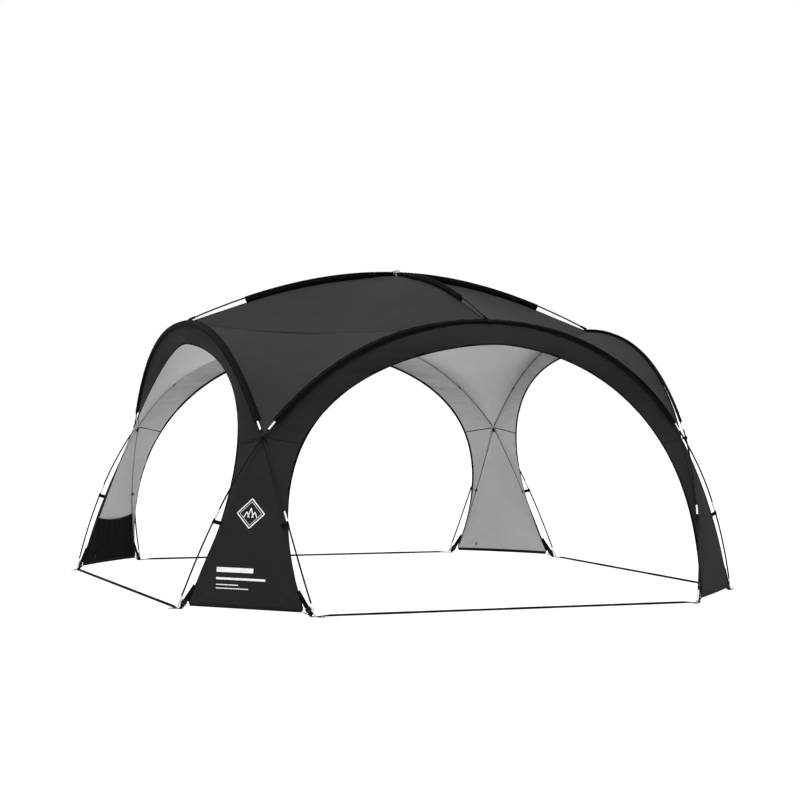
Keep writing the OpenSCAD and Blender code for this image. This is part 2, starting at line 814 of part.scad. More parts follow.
buckle(4);  // back_right_buckle_back
buckle(5);  // back_right_buckle_right
buckle(6);  // back_left_buckle_left
buckle(7);  // back_left_buckle_back
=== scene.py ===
"""Looks of a dome tarp shelter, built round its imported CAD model.

Everything is in metres in the CAD frame: +Z up, the front opening faces -Y, +X is to the right.
Sides are numbered 0 front, 1 right, 2 back and 3 left, and one side's pieces are turned by 90
degrees about Z to make the next side's.
"""
import math

import bpy
import numpy as np
from mathutils import Matrix, Vector
from mathutils.geometry import tessellate_polygon


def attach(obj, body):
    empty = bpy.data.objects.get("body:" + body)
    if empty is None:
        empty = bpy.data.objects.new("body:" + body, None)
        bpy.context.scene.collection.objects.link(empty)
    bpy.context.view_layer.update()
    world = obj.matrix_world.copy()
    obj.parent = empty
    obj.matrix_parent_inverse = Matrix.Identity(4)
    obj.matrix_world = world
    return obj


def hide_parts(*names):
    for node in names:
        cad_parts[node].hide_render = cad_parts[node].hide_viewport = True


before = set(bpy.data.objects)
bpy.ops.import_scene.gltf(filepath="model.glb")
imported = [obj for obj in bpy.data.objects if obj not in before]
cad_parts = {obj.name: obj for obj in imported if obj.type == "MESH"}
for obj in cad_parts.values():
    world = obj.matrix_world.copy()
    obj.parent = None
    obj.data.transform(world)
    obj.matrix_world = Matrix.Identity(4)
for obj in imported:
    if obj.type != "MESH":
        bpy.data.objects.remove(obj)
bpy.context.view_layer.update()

SIDES = ["front", "right", "back", "left"]
CORNERS = ["front_left", "front_right", "back_right", "back_left"]
UP = np.array([0.0, 0.0, 1.0])

# ---------------------------------------------------------------- driving dimensions, as in the CAD
HALF, FOOT_X = 2.0, 1.33  # pole feet: out from the middle, and sideways
TOP_OUT, ARCH_H = 1.578, 1.82  # top of an arch
ROOF_H, OPENING_H = 2.202, 1.67
HEM_INSET, HEM_H = 0.08, 0.034
POLE_R, FERRULE_R, FERRULE_LEN = 0.0055, 0.0065, 0.065
END_SECTION = 0.645  # an arch pole's two lowest sections
FOOT_TUBE, CUP_LEN, POLE_END = 0.087, 0.054, 0.044
CROSS_LIFT = 0.0068  # crossing poles pass this far above and below their curve
SEAM_DROP, CROSS_DROP = 0.009, 0.022  # seam under an arch pole, at its top and at a crossing
ROOF_DROP, APEX_LIFT, APEX_REACH = 0.036, 0.021, 0.220  # seam under a roof pole
LEG_BOW = 0.045
SLEEVE_W, SLEEVE_START = 0.050, 0.130
SLEEVE_FROM, SLEEVE_TO = 0.170, 1.140  # roof sleeves, out from the middle
WEB_W, WEB_T = 0.030, 0.002
FLARE = {0: 0.12, 1: -0.01, 2: 0.12, 3: -0.01}  # how far each visor's edge leans out
DOME_CENTRE = np.array([0.0, 0.0, 0.7])
CLOTH_T = 0.0012
LEG_OUT = np.array([-0.7, -0.7, 0.1])  # outward from the front left leg

# Control points of the front half-curves, as [sideways, outward, up]: arch pole and opening edge.
ARCH = np.array([
    [HALF, FOOT_X, 0], [HALF - 0.202, FOOT_X + 0.181, 0.672],
    [HALF - 0.633, TOP_OUT, ARCH_H], [0, TOP_OUT, ARCH_H],
])
INSET_XY = HEM_INSET / math.sqrt(2)
EDGE = np.array([
    [FOOT_X + INSET_XY, HALF - INSET_XY, HEM_H], [HALF - 0.315, HALF - 0.659, OPENING_H - 0.15],
    [0.266, TOP_OUT - 0.002, OPENING_H], [0, TOP_OUT - 0.002, OPENING_H],
])
ROOF_END = np.array([TOP_OUT - 0.026, 0, ARCH_H + 0.015])


# ---------------------------------------------------------------- curves
def unit(v):
    v = np.asarray(v, float)
    return v / np.linalg.norm(v, axis=-1, keepdims=True)


def bezier(c, t):
    """Points of the cubic curve with control points c."""
    t = np.asarray(t, float)[..., None]
    return (1 - t) ** 3 * c[0] + 3 * (1 - t) ** 2 * t * c[1] + 3 * (1 - t) * t * t * c[2] + t ** 3 * c[3]


def radial(p):
    """Direction out from the middle of the dome."""
    return unit(p - DOME_CENTRE)


def root(f, low, high):
    """Where rising function f crosses zero."""
    for _ in range(40):
        mid = (low + high) / 2
        low, high = (low, mid) if f(mid) > 0 else (mid, high)
    return (low + high) / 2


CROSS_T = root(lambda t: float(bezier(ARCH, t)[1] - bezier(ARCH, t)[0]), 0, 0.7)
CROSS_H = float(bezier(ARCH, CROSS_T)[2])
EDGE_T = root(lambda t: float(bezier(EDGE, t)[2]) - (CROSS_H - 0.045), 0, 0.7)


def sign_of(w):
    return np.where(w < 0, -1.0, 1.0)


def front(p, side):
    """Half-curve points [sideways, outward, up] on the front side; side is -1 or 1."""
    return np.stack([side * p[..., 0], -p[..., 1], p[..., 2]], -1)


def swap(p):
    """Mirrors between the front and the left."""
    return p[..., [1, 0, 2]]


def turn(p, k):
    """Points or a direction turned from the front to side k."""
    c, s = [(1, 0), (0, 1), (-1, 0), (0, -1)][k % 4]
    x, y = p[..., 0], p[..., 1]
    return np.stack([c * x - s * y, s * x + c * y, p[..., 2]], -1)


def arch_points(w):
    """Front arch pole's centre line for w from -1 to 1; it passes under at one leg and over at the other."""
    w = np.asarray(w, float)
    p = front(bezier(ARCH, 1 - abs(w)), sign_of(w))
    lift = -sign_of(w) * CROSS_LIFT * np.exp(-((1 - abs(w) - CROSS_T) / 0.09) ** 2)
    return p + lift[..., None] * radial(p)


def roof_points(w, rise):
    """Centre line of the pole across the roof for w from -1 to 1, lifted by rise at the top."""
    w = np.asarray(w, float)
    h = ROOF_H + rise
    c = np.array([ROOF_END, ROOF_END + [-0.52, 0, 0.235], [0.52, 0, h], [0, 0, h]])
    p = bezier(c, 1 - abs(w))
    p[..., 0] *= sign_of(w)
    return p


class Curve:
    """A polyline read by its length."""

    def __init__(self, points):
        self.points = points
        steps = np.linalg.norm(np.diff(points, axis=0), axis=1)
        self.s = np.concatenate([[0], np.cumsum(steps)])
        self.length = float(self.s[-1])

    def at(self, s):
        return np.stack([np.interp(s, self.s, self.points[:, k]) for k in range(3)], -1)

    def heading(self, s):
        return unit(self.at(s + 0.005) - self.at(s - 0.005))


SPREAD = np.linspace(-1, 1, 401)
ARCH_CURVE = Curve(arch_points(SPREAD))
CROSS_CURVE = Curve(roof_points(SPREAD, CROSS_LIFT))
FORE_AFT_CURVE = Curve(roof_points(SPREAD, -CROSS_LIFT))
CROSS_S = Curve(arch_points(np.linspace(-1, -1 + CROSS_T, 101))).length


def arch_seam(f, side):
    """Seam under the front arch pole, from its top (0) to the crossing (1)."""
    f = np.asarray(f, float)
    p = front(bezier(ARCH, 1 - f * (1 - CROSS_T)), side)
    drop = SEAM_DROP + (CROSS_DROP - SEAM_DROP) * f ** 6
    return p - drop[..., None] * radial(p)


MID_ROOF = Curve(roof_points(np.linspace(0, 1, 201), 0))
SEAM_TOP = arch_seam(0.0, 1)


def roof_seam(f):
    """Seam under a roof pole, from the roof's middle (0) to the front arch (1)."""
    x = np.asarray(f, float) * abs(SEAM_TOP[1])
    over = np.interp(x, MID_ROOF.points[:, 0], MID_ROOF.points[:, 2])
    at_end = np.interp(SLEEVE_TO, MID_ROOF.points[:, 0], MID_ROOF.points[:, 2]) - ROOF_DROP
    sleeved = over - ROOF_DROP + APEX_LIFT * np.exp(-(x / APEX_REACH) ** 2)
    drawn = at_end + (SEAM_TOP[2] - at_end) * (x - SLEEVE_TO) / (abs(SEAM_TOP[1]) - SLEEVE_TO)
    return np.stack([0 * x, -x, np.where(x < SLEEVE_TO, sleeved, drawn)], -1)


def edge_upper(g, side, k):
    """Opening edge over side k, from its top (0) to the crossing's height (1)."""
    g = np.asarray(g, float)
    p = bezier(EDGE, 1 - g * (1 - EDGE_T))
    p[..., 1] += FLARE[k] * (1 - g ** 2) ** 2
    return front(p, side)


def edge_lower(g):
    return front(bezier(EDGE, EDGE_T * np.asarray(g, float)), -1)


HEM_CORNER = front(EDGE[0], -1)


def leg_seam(g):
    """Front fold of the front left leg, from its hem (0) to the crossing (1)."""
    g = np.asarray(g, float)[..., None]
    p = HEM_CORNER + g * (arch_seam(1.0, -1) - HEM_CORNER)
    return p + LEG_BOW * 4 * g * (1 - g) * radial(p)


# ---------------------------------------------------------------- mesh building
def make(name, points, faces, materials, node, slot, body="root", indices=None, smooth=True):
    """A mesh object from points and faces, riding on a body, in place of a CAD node if there is one."""
    mesh = bpy.data.meshes.new(name)
    mesh.from_pydata([tuple(p) for p in np.asarray(points, float)], [], [tuple(map(int, f)) for f in faces])
    mesh.validate()
    for m in materials:
        mesh.materials.append(m)
    if indices is not None:
        mesh.polygons.foreach_set("material_index", indices)
    mesh.polygons.foreach_set("use_smooth", [smooth] * len(mesh.polygons))
    obj = bpy.data.objects.new(name, mesh)
    bpy.context.scene.collection.objects.link(obj)
    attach(obj, body)
    if node:
        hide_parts(node)
    return obj


def tangents(path):
    return unit(np.gradient(path, axis=0))


def ring_faces(n, m, closed=False):
    """Faces between n rings of m points, with end caps, or with the last ring joined to the first."""
    faces = [
        (i * m + k, i * m + (k + 1) % m, (i + 1) % n * m + (k + 1) % m, (i + 1) % n * m + k)
        for i in range(n if closed else n - 1) for k in range(m)
    ]
    last = (n - 1) * m
    return faces if closed else faces + [tuple(range(m - 1, -1, -1)), tuple(range(last, last + m))]


def carried(path, ups, d, profile):
    """Points of a profile of [side, top] offsets carried along a path of directions d."""
    top = unit(ups - (ups * d).sum(1, keepdims=True) * d)
    points = path[:, None] + profile[..., :1] * np.cross(d, top)[:, None] + profile[..., 1:] * top[:, None]
    return points.reshape(-1, 3)


def sweep(path, ups, profile):
    """A closed tube: profile is (m, 2) or (n, m, 2) of [side, top] offsets, anticlockwise."""
    profile = np.broadcast_to(profile, (len(path),) + np.shape(profile)[-2:])
    return carried(path, ups, tangents(path), profile), ring_faces(len(path), profile.shape[1])


def rounded(w, t, n=3):
    """A flat section of width w and thickness t with round edges."""
    r = t / 2
    arc = np.linspace(-90, 90, 2 * n + 1) * math.pi / 180
    right = np.stack([w / 2 - r + r * np.cos(arc), r * np.sin(arc)], -1)
    return np.concatenate([right, -right])


def join(parts):
    """Several parts as one list of points and one of faces."""
    points, faces, base = [], [], 0
    for p, f in parts:
        points.append(p)
        faces += [tuple(i + base for i in face) for face in f]
        base += len(p)
    return np.concatenate(points), faces


def turned(part, k):
    return turn(part[0], k), part[1]


def mirrored(part):
    """The same part on the left fold of the front left leg; its faces are turned over."""
    return swap(part[0]), [tuple(reversed(f)) for f in part[1]]


# ---------------------------------------------------------------- materials
class Nodes:
    """A short way to write a node tree."""

    def __init__(self, name):
        self.material = bpy.data.materials.new(name)
        self.material.use_nodes = True
        self.tree = self.material.node_tree
        self.shader = self.tree.nodes["Principled BSDF"]

    def add(self, kind, **values):
        node = self.tree.nodes.new(kind)
        for key, value in values.items():
            if key in node.inputs.keys():
                self.put(node.inputs[key], value)
            else:
                setattr(node, key, value)
        return node

    def put(self, socket, value):
        if isinstance(value, bpy.types.NodeSocket):
            self.tree.links.new(value, socket)
        else:
            socket.default_value = value

    def math(self, operation, a, b=0.0, clamp=False):
        node = self.tree.nodes.new("ShaderNodeMath")
        node.operation = operation
        node.use_clamp = clamp
        self.put(node.inputs[0], a)
        self.put(node.inputs[1], b)
        return node.outputs[0]

    def blend(self, *terms):
        """Sum of sockets, each times its weight."""
        parts = [self.math("MULTIPLY", socket, weight) for socket, weight in terms]
        total = parts[0]
        for part in parts[1:]:
            total = self.math("ADD", total, part)
        return total

    def shifted(self, base, socket, weight):
        return self.math("ADD", base, self.math("MULTIPLY", socket, weight))

    def uv(self):
        return self.add("ShaderNodeUVMap", uv_map="cloth").outputs[0]

    def place(self):
        return self.add("ShaderNodeTexCoord").outputs["Object"]

    def noise(self, vector, scale, detail=3.0, rough=0.5):
        node = self.add("ShaderNodeTexNoise", Scale=scale, Detail=detail, Roughness=rough)
        self.put(node.inputs["Vector"], vector)
        return node.outputs["Fac"]

    def ramp(self, value, stops):
        node = self.tree.nodes.new("ShaderNodeValToRGB")
        self.put(node.inputs[0], value)
        while len(node.color_ramp.elements) < len(stops):
            node.color_ramp.elements.new(0.5)
        for element, (at, colour) in zip(node.color_ramp.elements, stops):
            element.position = at
            element.color = (*colour, 1)
        return node.outputs[0]

    def bump(self, height, strength, distance, normal=None):
        node = self.add("ShaderNodeBump", Strength=strength, Distance=distance, Height=height)
        if normal is not None:
            self.put(node.inputs["Normal"], normal)
        return node.outputs[0]

    def finish(self, **values):
        for key, value in values.items():
            self.put(self.shader.inputs[key.replace("_", " ")], value)
        return self.material


def weave(n, vector, pitch):
    """Height of a plain weave of that pitch in metres, from 0 to 1."""
    split = n.add("ShaderNodeSeparateXYZ", Vector=vector)
    turns = 2 * math.pi / pitch
    x = n.math("SINE", n.math("MULTIPLY", split.outputs[0], turns))
    y = n.math("SINE", n.math("MULTIPLY", split.outputs[1], turns))
    return n.math("ADD", n.math("MULTIPLY", n.math("MULTIPLY", x, y), 0.5), 0.5)


def cloth_material(name, dark, light, roughness, pitch, sheen=0.01, metallic=0.0, soft=0.12, shine=0.03):
    """Coated oxford cloth: weave, slight fading in blotches, packing creases."""
    n = Nodes(name)
    uv = n.uv()
    threads = weave(n, uv, pitch)
    blotch = n.noise(uv, 2.2, 5, 0.6)
    streak = n.add("ShaderNodeMapping", Vector=uv)
    streak.inputs["Scale"].default_value = (1.0, 14.0, 1.0)
    slub = n.noise(streak.outputs[0], 60, 2)
    colour = n.ramp(n.blend((blotch, 0.62), (threads, 0.16), (slub, 0.22)), [(0.30, dark), (0.72, light)])
    crease = n.add("ShaderNodeTexVoronoi", Scale=3.1, feature="DISTANCE_TO_EDGE", Vector=uv).outputs[0]
    fold = n.math("SUBTRACT", 1.0, n.math("MULTIPLY", crease, 18.0, clamp=True), clamp=True)
    relief = n.bump(fold, soft, 0.0012)
    relief = n.bump(n.noise(uv, 9, 4, 0.55), 0.30, 0.006, relief)
    relief = n.bump(threads, 0.35, 0.00035, relief)
    return n.finish(
        Base_Color=colour, Roughness=n.shifted(roughness - 0.08, blotch, 0.16), Metallic=metallic,
        Normal=relief, Sheen_Weight=sheen, Sheen_Roughness=0.5, Specular_IOR_Level=shine,
    )


def webbing_material(name, dark, light, pitch=0.0016):
    """Ribbed webbing: ribs run across it, crossed by a fine twill."""
    n = Nodes(name)
    uv = n.uv()
    split = n.add("ShaderNodeSeparateXYZ", Vector=uv)
    turns = 2 * math.pi / pitch
    rib = n.math("SINE", n.math("MULTIPLY", split.outputs[0], turns))
    twill = n.math("SINE", n.math("MULTIPLY", n.math("ADD", split.outputs[0], split.outputs[1]), turns))
    height = n.blend((rib, 0.3), (twill, 0.2))
    colour = n.ramp(n.shifted(n.noise(uv, 45, 3), height, 0.25), [(0.35, dark), (0.75, light)])
    return n.finish(
        Base_Color=colour, Roughness=0.82, Normal=n.bump(height, 0.6, 0.0005),
        Sheen_Weight=0.01, Specular_IOR_Level=0.03,
    )


def grey(value, blue=None):
    return (value, value, value if blue is None else blue)


def hard_material(name, fine, broad, stops, relief, roughness, spread=0.0, **values):
    """A hard surface or ink: fine grain for relief, broad wear for colour, and for gloss with a spread."""
    n = Nodes(name)
    place = n.place()
    fine, broad = n.noise(place, *fine), n.noise(place, *broad)
    colour = n.ramp(n.blend((fine, 0.4), (broad, 0.6)) if spread else broad, stops)
    gloss = n.shifted(roughness, broad, spread) if spread else roughness
    return n.finish(Base_Color=colour, Roughness=gloss, Normal=n.bump(fine, *relief), **values)


def metal_material(name, light, roughness):
    """Drawn, slightly scuffed metal."""
    stops = [(0.3, tuple(0.72 * c for c in light)), (0.7, light)]
    return hard_material(name, (260, 4, 0.7), (30, 3), stops, (0.2, 0.0002), roughness, 0.2, Metallic=1.0)


OUTER = cloth_material("oxford outside", grey(0.017, 0.0173), grey(0.025, 0.0254), 0.8, 0.0016)
# Painted shade: the same oxford cloth as the roof, drawn darker for the visors, legs, wings and corner
# patches because those steep sides catch less light.
SHADED_OXFORD = cloth_material("oxford shaded copy", grey(0.0100, 0.0102), grey(0.0155, 0.0158), 0.8, 0.0016)
LINING = cloth_material(
    "silver coated inside", grey(0.31, 0.314), grey(0.40, 0.405), 0.55, 0.0016, 0.0, 0.25, shine=0.3,
)
SLEEVE = cloth_material("sleeve cloth", grey(0.0012), grey(0.0032, 0.0033), 0.75, 0.0014, soft=0.3)
POCKET = cloth_material("pocket cloth", grey(0.0015), grey(0.0035), 0.8, 0.0016)
# Painted shade: the felled seams are the roof's oxford cloth drawn darker, for a shade line along each roof
# seam.
SHADED_SEAM_CLOTH = cloth_material("felled seam shaded darker", grey(0.012, 0.0122), grey(0.018, 0.0183), 0.8, 0.0016)
# Painted shade: the folded hem is the same canopy cloth drawn darker still, for a shade line along the foot
# of each leg.
SHADED_HEM_CLOTH = cloth_material("folded hem shaded darker", grey(0.006), grey(0.010, 0.0102), 0.8, 0.0016)
TAPE = webbing_material("binding tape", grey(0.0015), grey(0.004), 0.0012)
BINDING = webbing_material("edge binding", grey(0.0015), grey(0.004), 0.0012)
WEBBING = webbing_material("webbing", grey(0.0015), grey(0.005))
FIBRE = hard_material(
    "pole glass fibre", (420, 2), (7, 4), [(0.35, grey(0.003, 0.0033)), (0.7, grey(0.009, 0.0095))],
    (0.15, 0.0002), 0.30, 0.18, Specular_IOR_Level=0.06,
)
METAL = metal_material("pole metal", grey(0.80, 0.81), 0.30)
GROMMET = metal_material("grommet metal", (0.70, 0.69, 0.67), 0.26)
MOULDED = hard_material(
    "moulded black plastic", (900, 2), (60, 3), [(0.35, grey(0.008)), (0.75, grey(0.022, 0.023))],
    (0.35, 0.0002), 0.52, Specular_IOR_Level=0.2,
)
PRINT = hard_material(
    "pale print", (700, 2), (34, 4, 0.65), [(0.25, grey(0.42)), (0.55, grey(0.62, 0.61))], (0.3, 0.0003), 0.7,
)


# ---------------------------------------------------------------- camera, floor and light
CAMERA_AT = Vector((-5.457, -13.186, 1.409))
CAMERA_AZIMUTH, AIM_DROP, AIM_ROLL = math.radians(-22.63), 0.008, 0.011
LENS, SENSOR = 89.05, 36
FLOOR_SIZE, FLOOR_GREY, FLOOR_GLOW = 160, 0.18, 0.93
SUN_POWER, SUN_SPREAD, SUN_TURN = 3.2, math.radians(50), (math.radians(14), math.radians(-10), 0)


def make_camera():
    """From in front and to the left, at standing height."""
    azimuth, flat = CAMERA_AZIMUTH, math.cos(AIM_DROP)
    ahead = Vector((-math.sin(azimuth) * flat, math.cos(azimuth) * flat, -math.sin(AIM_DROP)))
    level = Vector((math.cos(azimuth), math.sin(azimuth), 0))
    right = math.cos(AIM_ROLL) * level + math.sin(AIM_ROLL) * level.cross(ahead)
    above = right.cross(ahead)
    data = bpy.data.cameras.new("camera")
    data.sensor_width = SENSOR
    data.lens = LENS
    data.clip_end = 200
    camera = bpy.data.objects.new("camera", data)
    camera.matrix_world = Matrix.Translation(CAMERA_AT) @ Matrix((right, above, -ahead)).transposed().to_4x4()
    bpy.context.scene.collection.objects.link(camera)
    bpy.context.scene.camera = camera


def make_stage():
    """A pale, self-lit floor under a white sky, with one broad light from above."""
    bpy.ops.mesh.primitive_plane_add(size=FLOOR_SIZE, location=(0, 0, -0.001))
    floor = bpy.context.object
    floor.name = "floor"
    n = Nodes("floor")
    n.finish(
        Base_Color=(*grey(FLOOR_GREY), 1), Roughness=0.9, Specular_IOR_Level=0.0,
        Emission_Color=(1, 1, 1, 1), Emission_Strength=FLOOR_GLOW,
    )
    floor.data.materials.append(n.material)
    world = bpy.context.scene.world or bpy.data.worlds.new("world")
    bpy.context.scene.world = world
    world.use_nodes = True
    sky = world.node_tree.nodes["Background"]
    sky.inputs["Color"].default_value = (1, 1, 1, 1)
    sky.inputs["Strength"].default_value = 1.0
    light = bpy.data.lights.new("broad light", "SUN")
    light.energy, light.angle = SUN_POWER, SUN_SPREAD
    lamp = bpy.data.objects.new("broad light", light)
    lamp.rotation_euler = SUN_TURN
    bpy.context.scene.collection.objects.link(lamp)
    bpy.context.scene.view_settings.view_transform = "Standard"


make_camera()
make_stage()


# ---------------------------------------------------------------- shared detail
ANY_PHASE = 6.28


def ripple(s, wavelengths, seed):
    """A smooth random wave along s, of height about 1."""
    rng = np.random.default_rng(seed)
    total = np.zeros_like(s, dtype=float)
    for length in wavelengths:
        stretch = rng.uniform(0.85, 1.15)
        height = rng.uniform(0.5, 1.0)
        total += height * np.sin(2 * np.pi * s / (length * stretch) + rng.uniform(0, ANY_PHASE))
    return total / len(wavelengths) ** 0.5


def ease(t):
    """A smooth step from 0 to 1."""
    t = np.clip(t, 0, 1)
    return t * t * (3 - 2 * t)


def along(path):
    """Length along a path, at each of its points."""
    return np.concatenate([[0], np.cumsum(np.linalg.norm(np.diff(path, axis=0), axis=1))])


def lay_uv(obj, uv):
    """Gives each vertex its place on the flat cloth, in metres."""
    layer = obj.data.uv_layers.new(name="cloth")
    index = np.empty(len(obj.data.loops), dtype=np.int64)
    obj.data.loops.foreach_get("vertex_index", index)
    layer.data.foreach_set("uv", np.asarray(uv, float)[index].ravel())


def sweep_uv(path, profile):
    profile = np.broadcast_to(profile, (len(path),) + np.shape(profile)[-2:])
    loop = np.concatenate([profile, profile[:, :1]], 1)
    across = np.cumsum(np.linalg.norm(np.diff(loop, axis=1), axis=2), axis=1)
    s = along(path)[:, None] + 0 * across
    return np.stack([s, across], -1).reshape(-1, 2)


def ring_profile(r, n=16):
    t = 2 * np.pi * (np.arange(n) + 0.5) / n
    return np.stack([r * np.cos(t), r * np.sin(t)], -1)


# ---------------------------------------------------------------- small part toolkit
def solid(points, faces):
    """The part with its faces turned outward."""
    points = np.asarray(points, float)
    volume = sum(
        np.dot(points[f[0]], np.cross(points[a], points[b])) for f in faces for a, b in zip(f[1:], f[2:])
    )
    return points, faces if volume > 0 else [tuple(reversed(f)) for f in faces]


class Group:
    """Parts that make one object, with their cloth coordinates and material numbers."""

    def __init__(self):
        self.parts, self.uvs, self.indices = [], [], []

    def add(self, part, uv=None, index=0):
        self.parts.append(part)
        self.uvs.append(np.zeros((len(part[0]), 2)) if uv is None else uv)
        self.indices += [index] * len(part[1])

    def add_folds(self, part, uv=None, index=0):
        """The part at both folds of all four legs."""
        for k in range(4):
            self.add(turned(part, k), uv, index)
            self.add(turned(mirrored(part), k), uv, index)

    def add_turns(self, part, uv=None, index=0):
        for k in range(4):
            self.add(turned(part, k), uv, index)

    def build(self, name, materials, node, slot, **extra):
        obj = make(name, *join(self.parts), materials, node, slot, indices=self.indices, **extra)
        lay_uv(obj, np.concatenate(self.uvs))
        return obj


def tube(path, ups, profile):
    """A sweep and its cloth coordinates."""
    return sweep(path, np.broadcast_to(ups, path.shape), profile), sweep_uv(path, profile)


def ribbon(path, ups, width, thickness, shift=(0.0, 0.0)):
    """A flat tape along a path."""
    return tube(path, ups, rounded(width, thickness) + np.asarray(shift))


def cord_along(path, r, n=10):
    return tube(path, np.array([0.31, 0.17, 0.93]), ring_profile(r, n))


def lathe(base, axis, stations, n=24):
    """A turned solid: stations are distances along the axis and radii."""
    axis = unit(axis)
    a = unit(np.cross(axis, [0.31, 0.87, 0.21]))
    b = np.cross(axis, a)
    angle = 2 * np.pi * np.arange(n) / n
    ring = np.cos(angle)[:, None] * a + np.sin(angle)[:, None] * b
    points = np.concatenate([base + d * axis + r * ring for d, r in stations])
    return points, ring_faces(len(stations), n)


def revolve(centre, section, n=36):
    """A ring about a vertical axis from a closed section of radii and heights."""
    angle = 2 * np.pi * np.arange(n) / n
    points = [centre + np.array([r * math.cos(t), r * math.sin(t), z]) for t in angle for r, z in section]
    return solid(points, ring_faces(n, len(section), closed=True))


LOOP_GIRTH = 0.04


def closed_sweep(path, ups, profile):
    """A closed loop of tape or cord."""
    points = carried(path, ups, unit(np.roll(path, -1, 0) - np.roll(path, 1, 0)), profile[None])
    across = np.linspace(0, LOOP_GIRTH, len(profile))
    uv = np.stack(np.broadcast_arrays(along(path)[:, None], across[None]), -1).reshape(-1, 2)
    return solid(points, ring_faces(len(path), len(profile), closed=True)), uv


def thickened(faces, m):
    """A sheet's faces, those of its underside, m points further on, and those of its rim."""
    edges = {(a, b) for f in faces for a, b in zip(f, f[1:] + f[:1])}
    rim = [(b, a, a + m, b + m) for a, b in sorted(edges) if (b, a) not in edges]
    return faces, [tuple(i + m for i in reversed(f)) for f in faces], rim


def plate(outline, holes, low, high):
    """A flat plate between two heights, with round holes."""
    loops = [np.asarray(loop) for loop in [outline, *holes]]
    flat = np.concatenate(loops)
    triangles = tessellate_polygon([[Vector((*p, 0.0)) for p in loop] for loop in loops])
    m = len(flat)
    points = np.concatenate([np.c_[flat, np.full(m, high)], np.c_[flat, np.full(m, low)]])
    faces = [tuple(t) for t in triangles]
    up = sum(np.cross(flat[t[1]] - flat[t[0]], flat[t[2]] - flat[t[0]]) for t in faces)
    if up < 0:
        faces = [tuple(reversed(t)) for t in faces]
    return points, sum(thickened(faces, m), [])


def circle(x, y, r, n=28):
    t = 2 * np.pi * np.arange(n) / n
    return np.stack([x + r * np.cos(t), y + r * np.sin(t)], -1)


# ---------------------------------------------------------------- ground tapes
TAPE_W, TAPE_T, TAPE_Z = 0.020, 0.0024, 0.0038
TAPE_TILT, TAPE_LEAN = math.radians(34), (1, -1, -1, 1)
TAPE_TURN, TAPE_RISE = 0.10, 0.0037  # it turns and rises over this length at each end
TAPE_SEWN = 0.012  # from the end of the tape to the pole's tip


def make_ground_tape(k):
    """Webbing held taut between two feet: flat at its ends and turned partly on edge between them."""
    end = FOOT_X - TAPE_SEWN
    x = np.linspace(-end, end, 241)
    free = ease((end - abs(x)) / TAPE_TURN)
    tilt = TAPE_LEAN[k] * TAPE_TILT * free * (1 + 0.12 * ripple(x, [0.9, 0.47], 20 + k))
    path = np.stack([x, np.full_like(x, -HALF), TAPE_Z + TAPE_RISE * free], -1)
    part, uv = ribbon(path, np.stack([0 * x, -np.sin(tilt), np.cos(tilt)], -1), TAPE_W, TAPE_T)
    node = SIDES[k] + "_ground_tape"
    group = Group()
    group.add(turned(part, k), uv)
    obj = group.build(node + "_webbing", [WEBBING], node, "webbing")
    path = turn(path, k)


for side in range(4):
    make_ground_tape(side)


# ---------------------------------------------------------------- poles
def joint_mid(c, s):
    """Middle of the straight ferrule at length s along a pole."""
    return (c.at(s - FERRULE_LEN / 2) + c.at(s + FERRULE_LEN / 2)) / 2


def joint_dir(c, s):
    return unit(c.at(s + FERRULE_LEN / 2) - c.at(s - FERRULE_LEN / 2))


ARCH_SECTIONS, ROOF_SECTIONS = 9, 5
ROOF_POLES = ((CROSS_CURVE, 0), (FORE_AFT_CURVE, 1))
JOINT_GAP = 0.0005  # half the gap between two sections inside a ferrule


def joint_places(c, n):
    """Lengths along a pole where its sections meet, with its two ends."""
    if n == ROOF_SECTIONS:
        return np.linspace(0, c.length, n + 1)
    near = END_SECTION * np.arange(3)
    far = c.length - near[::-1]
    return np.concatenate([near, np.linspace(near[-1], far[0], n - 3)[1:-1], far])


def section_paths(c, n, start):
    """Centre lines of a pole's sections, straight inside the ferrules and end sockets."""
    joints, h = joint_places(c, n), FERRULE_LEN / 2
    paths = []
    for k in range(n):
        a = start if k == 0 else joints[k] + h
        b = c.length - start if k == n - 1 else joints[k + 1] - h
        middle = c.at(np.linspace(a, b, 24))
        if k == 0:
            first = middle[0] - POLE_END * unit(c.at(start) - c.at(0))
        else:
            first = joint_mid(c, joints[k]) + JOINT_GAP * joint_dir(c, joints[k])
        if k == n - 1:
            last = middle[-1] + POLE_END * unit(c.at(c.length) - c.at(c.length - start))
        else:
            last = joint_mid(c, joints[k + 1]) - JOINT_GAP * joint_dir(c, joints[k + 1])
        paths.append(np.concatenate([[first], middle, [last]]))
    return paths


def make_pole(node, c, n, start, k):
    group = Group()
    for path in section_paths(c, n, start):
        path = turn(path, k)
        group.add(*tube(path, radial(path), ring_profile(POLE_R)))
    group.build(node + "_sections", [FIBRE], node, "pole_fibreglass")


def ring_ended(p, q, r, bead=0.0006, n=20):
    """A round tube's outside with rolled ends: path and profile scale along it."""
    f = np.array([0, 0.012, 0.03, 0.06, 0.94, 0.97, 0.988, 1.0])
    scale = np.array([0.86, 0.97, 1 + bead / r, 1, 1, 1 + bead / r, 0.97, 0.86])
    path = p + f[:, None] * (q - p)
    return path, scale[:, None, None] * ring_profile(r, n)


def make_ferrules():
    """Metal tubes where two sections of a pole meet."""
    group = Group()
    sets = [(ARCH_CURVE, ARCH_SECTIONS, k) for k in range(4)] + [(c, ROOF_SECTIONS, k) for c, k in ROOF_POLES]
    for c, n, k in sets:
        for s in joint_places(c, n)[1:-1]:
            m, d = joint_mid(c, s), joint_dir(c, s) * FERRULE_LEN / 2
            path, profile = ring_ended(m - d, m + d, FERRULE_R)
            part, uv = tube(path, radial(m), profile)
            group.add(turned(part, k), uv)
    group.build("pole_ferrule_tubes", [METAL], "pole_ferrules", "pole_metal")


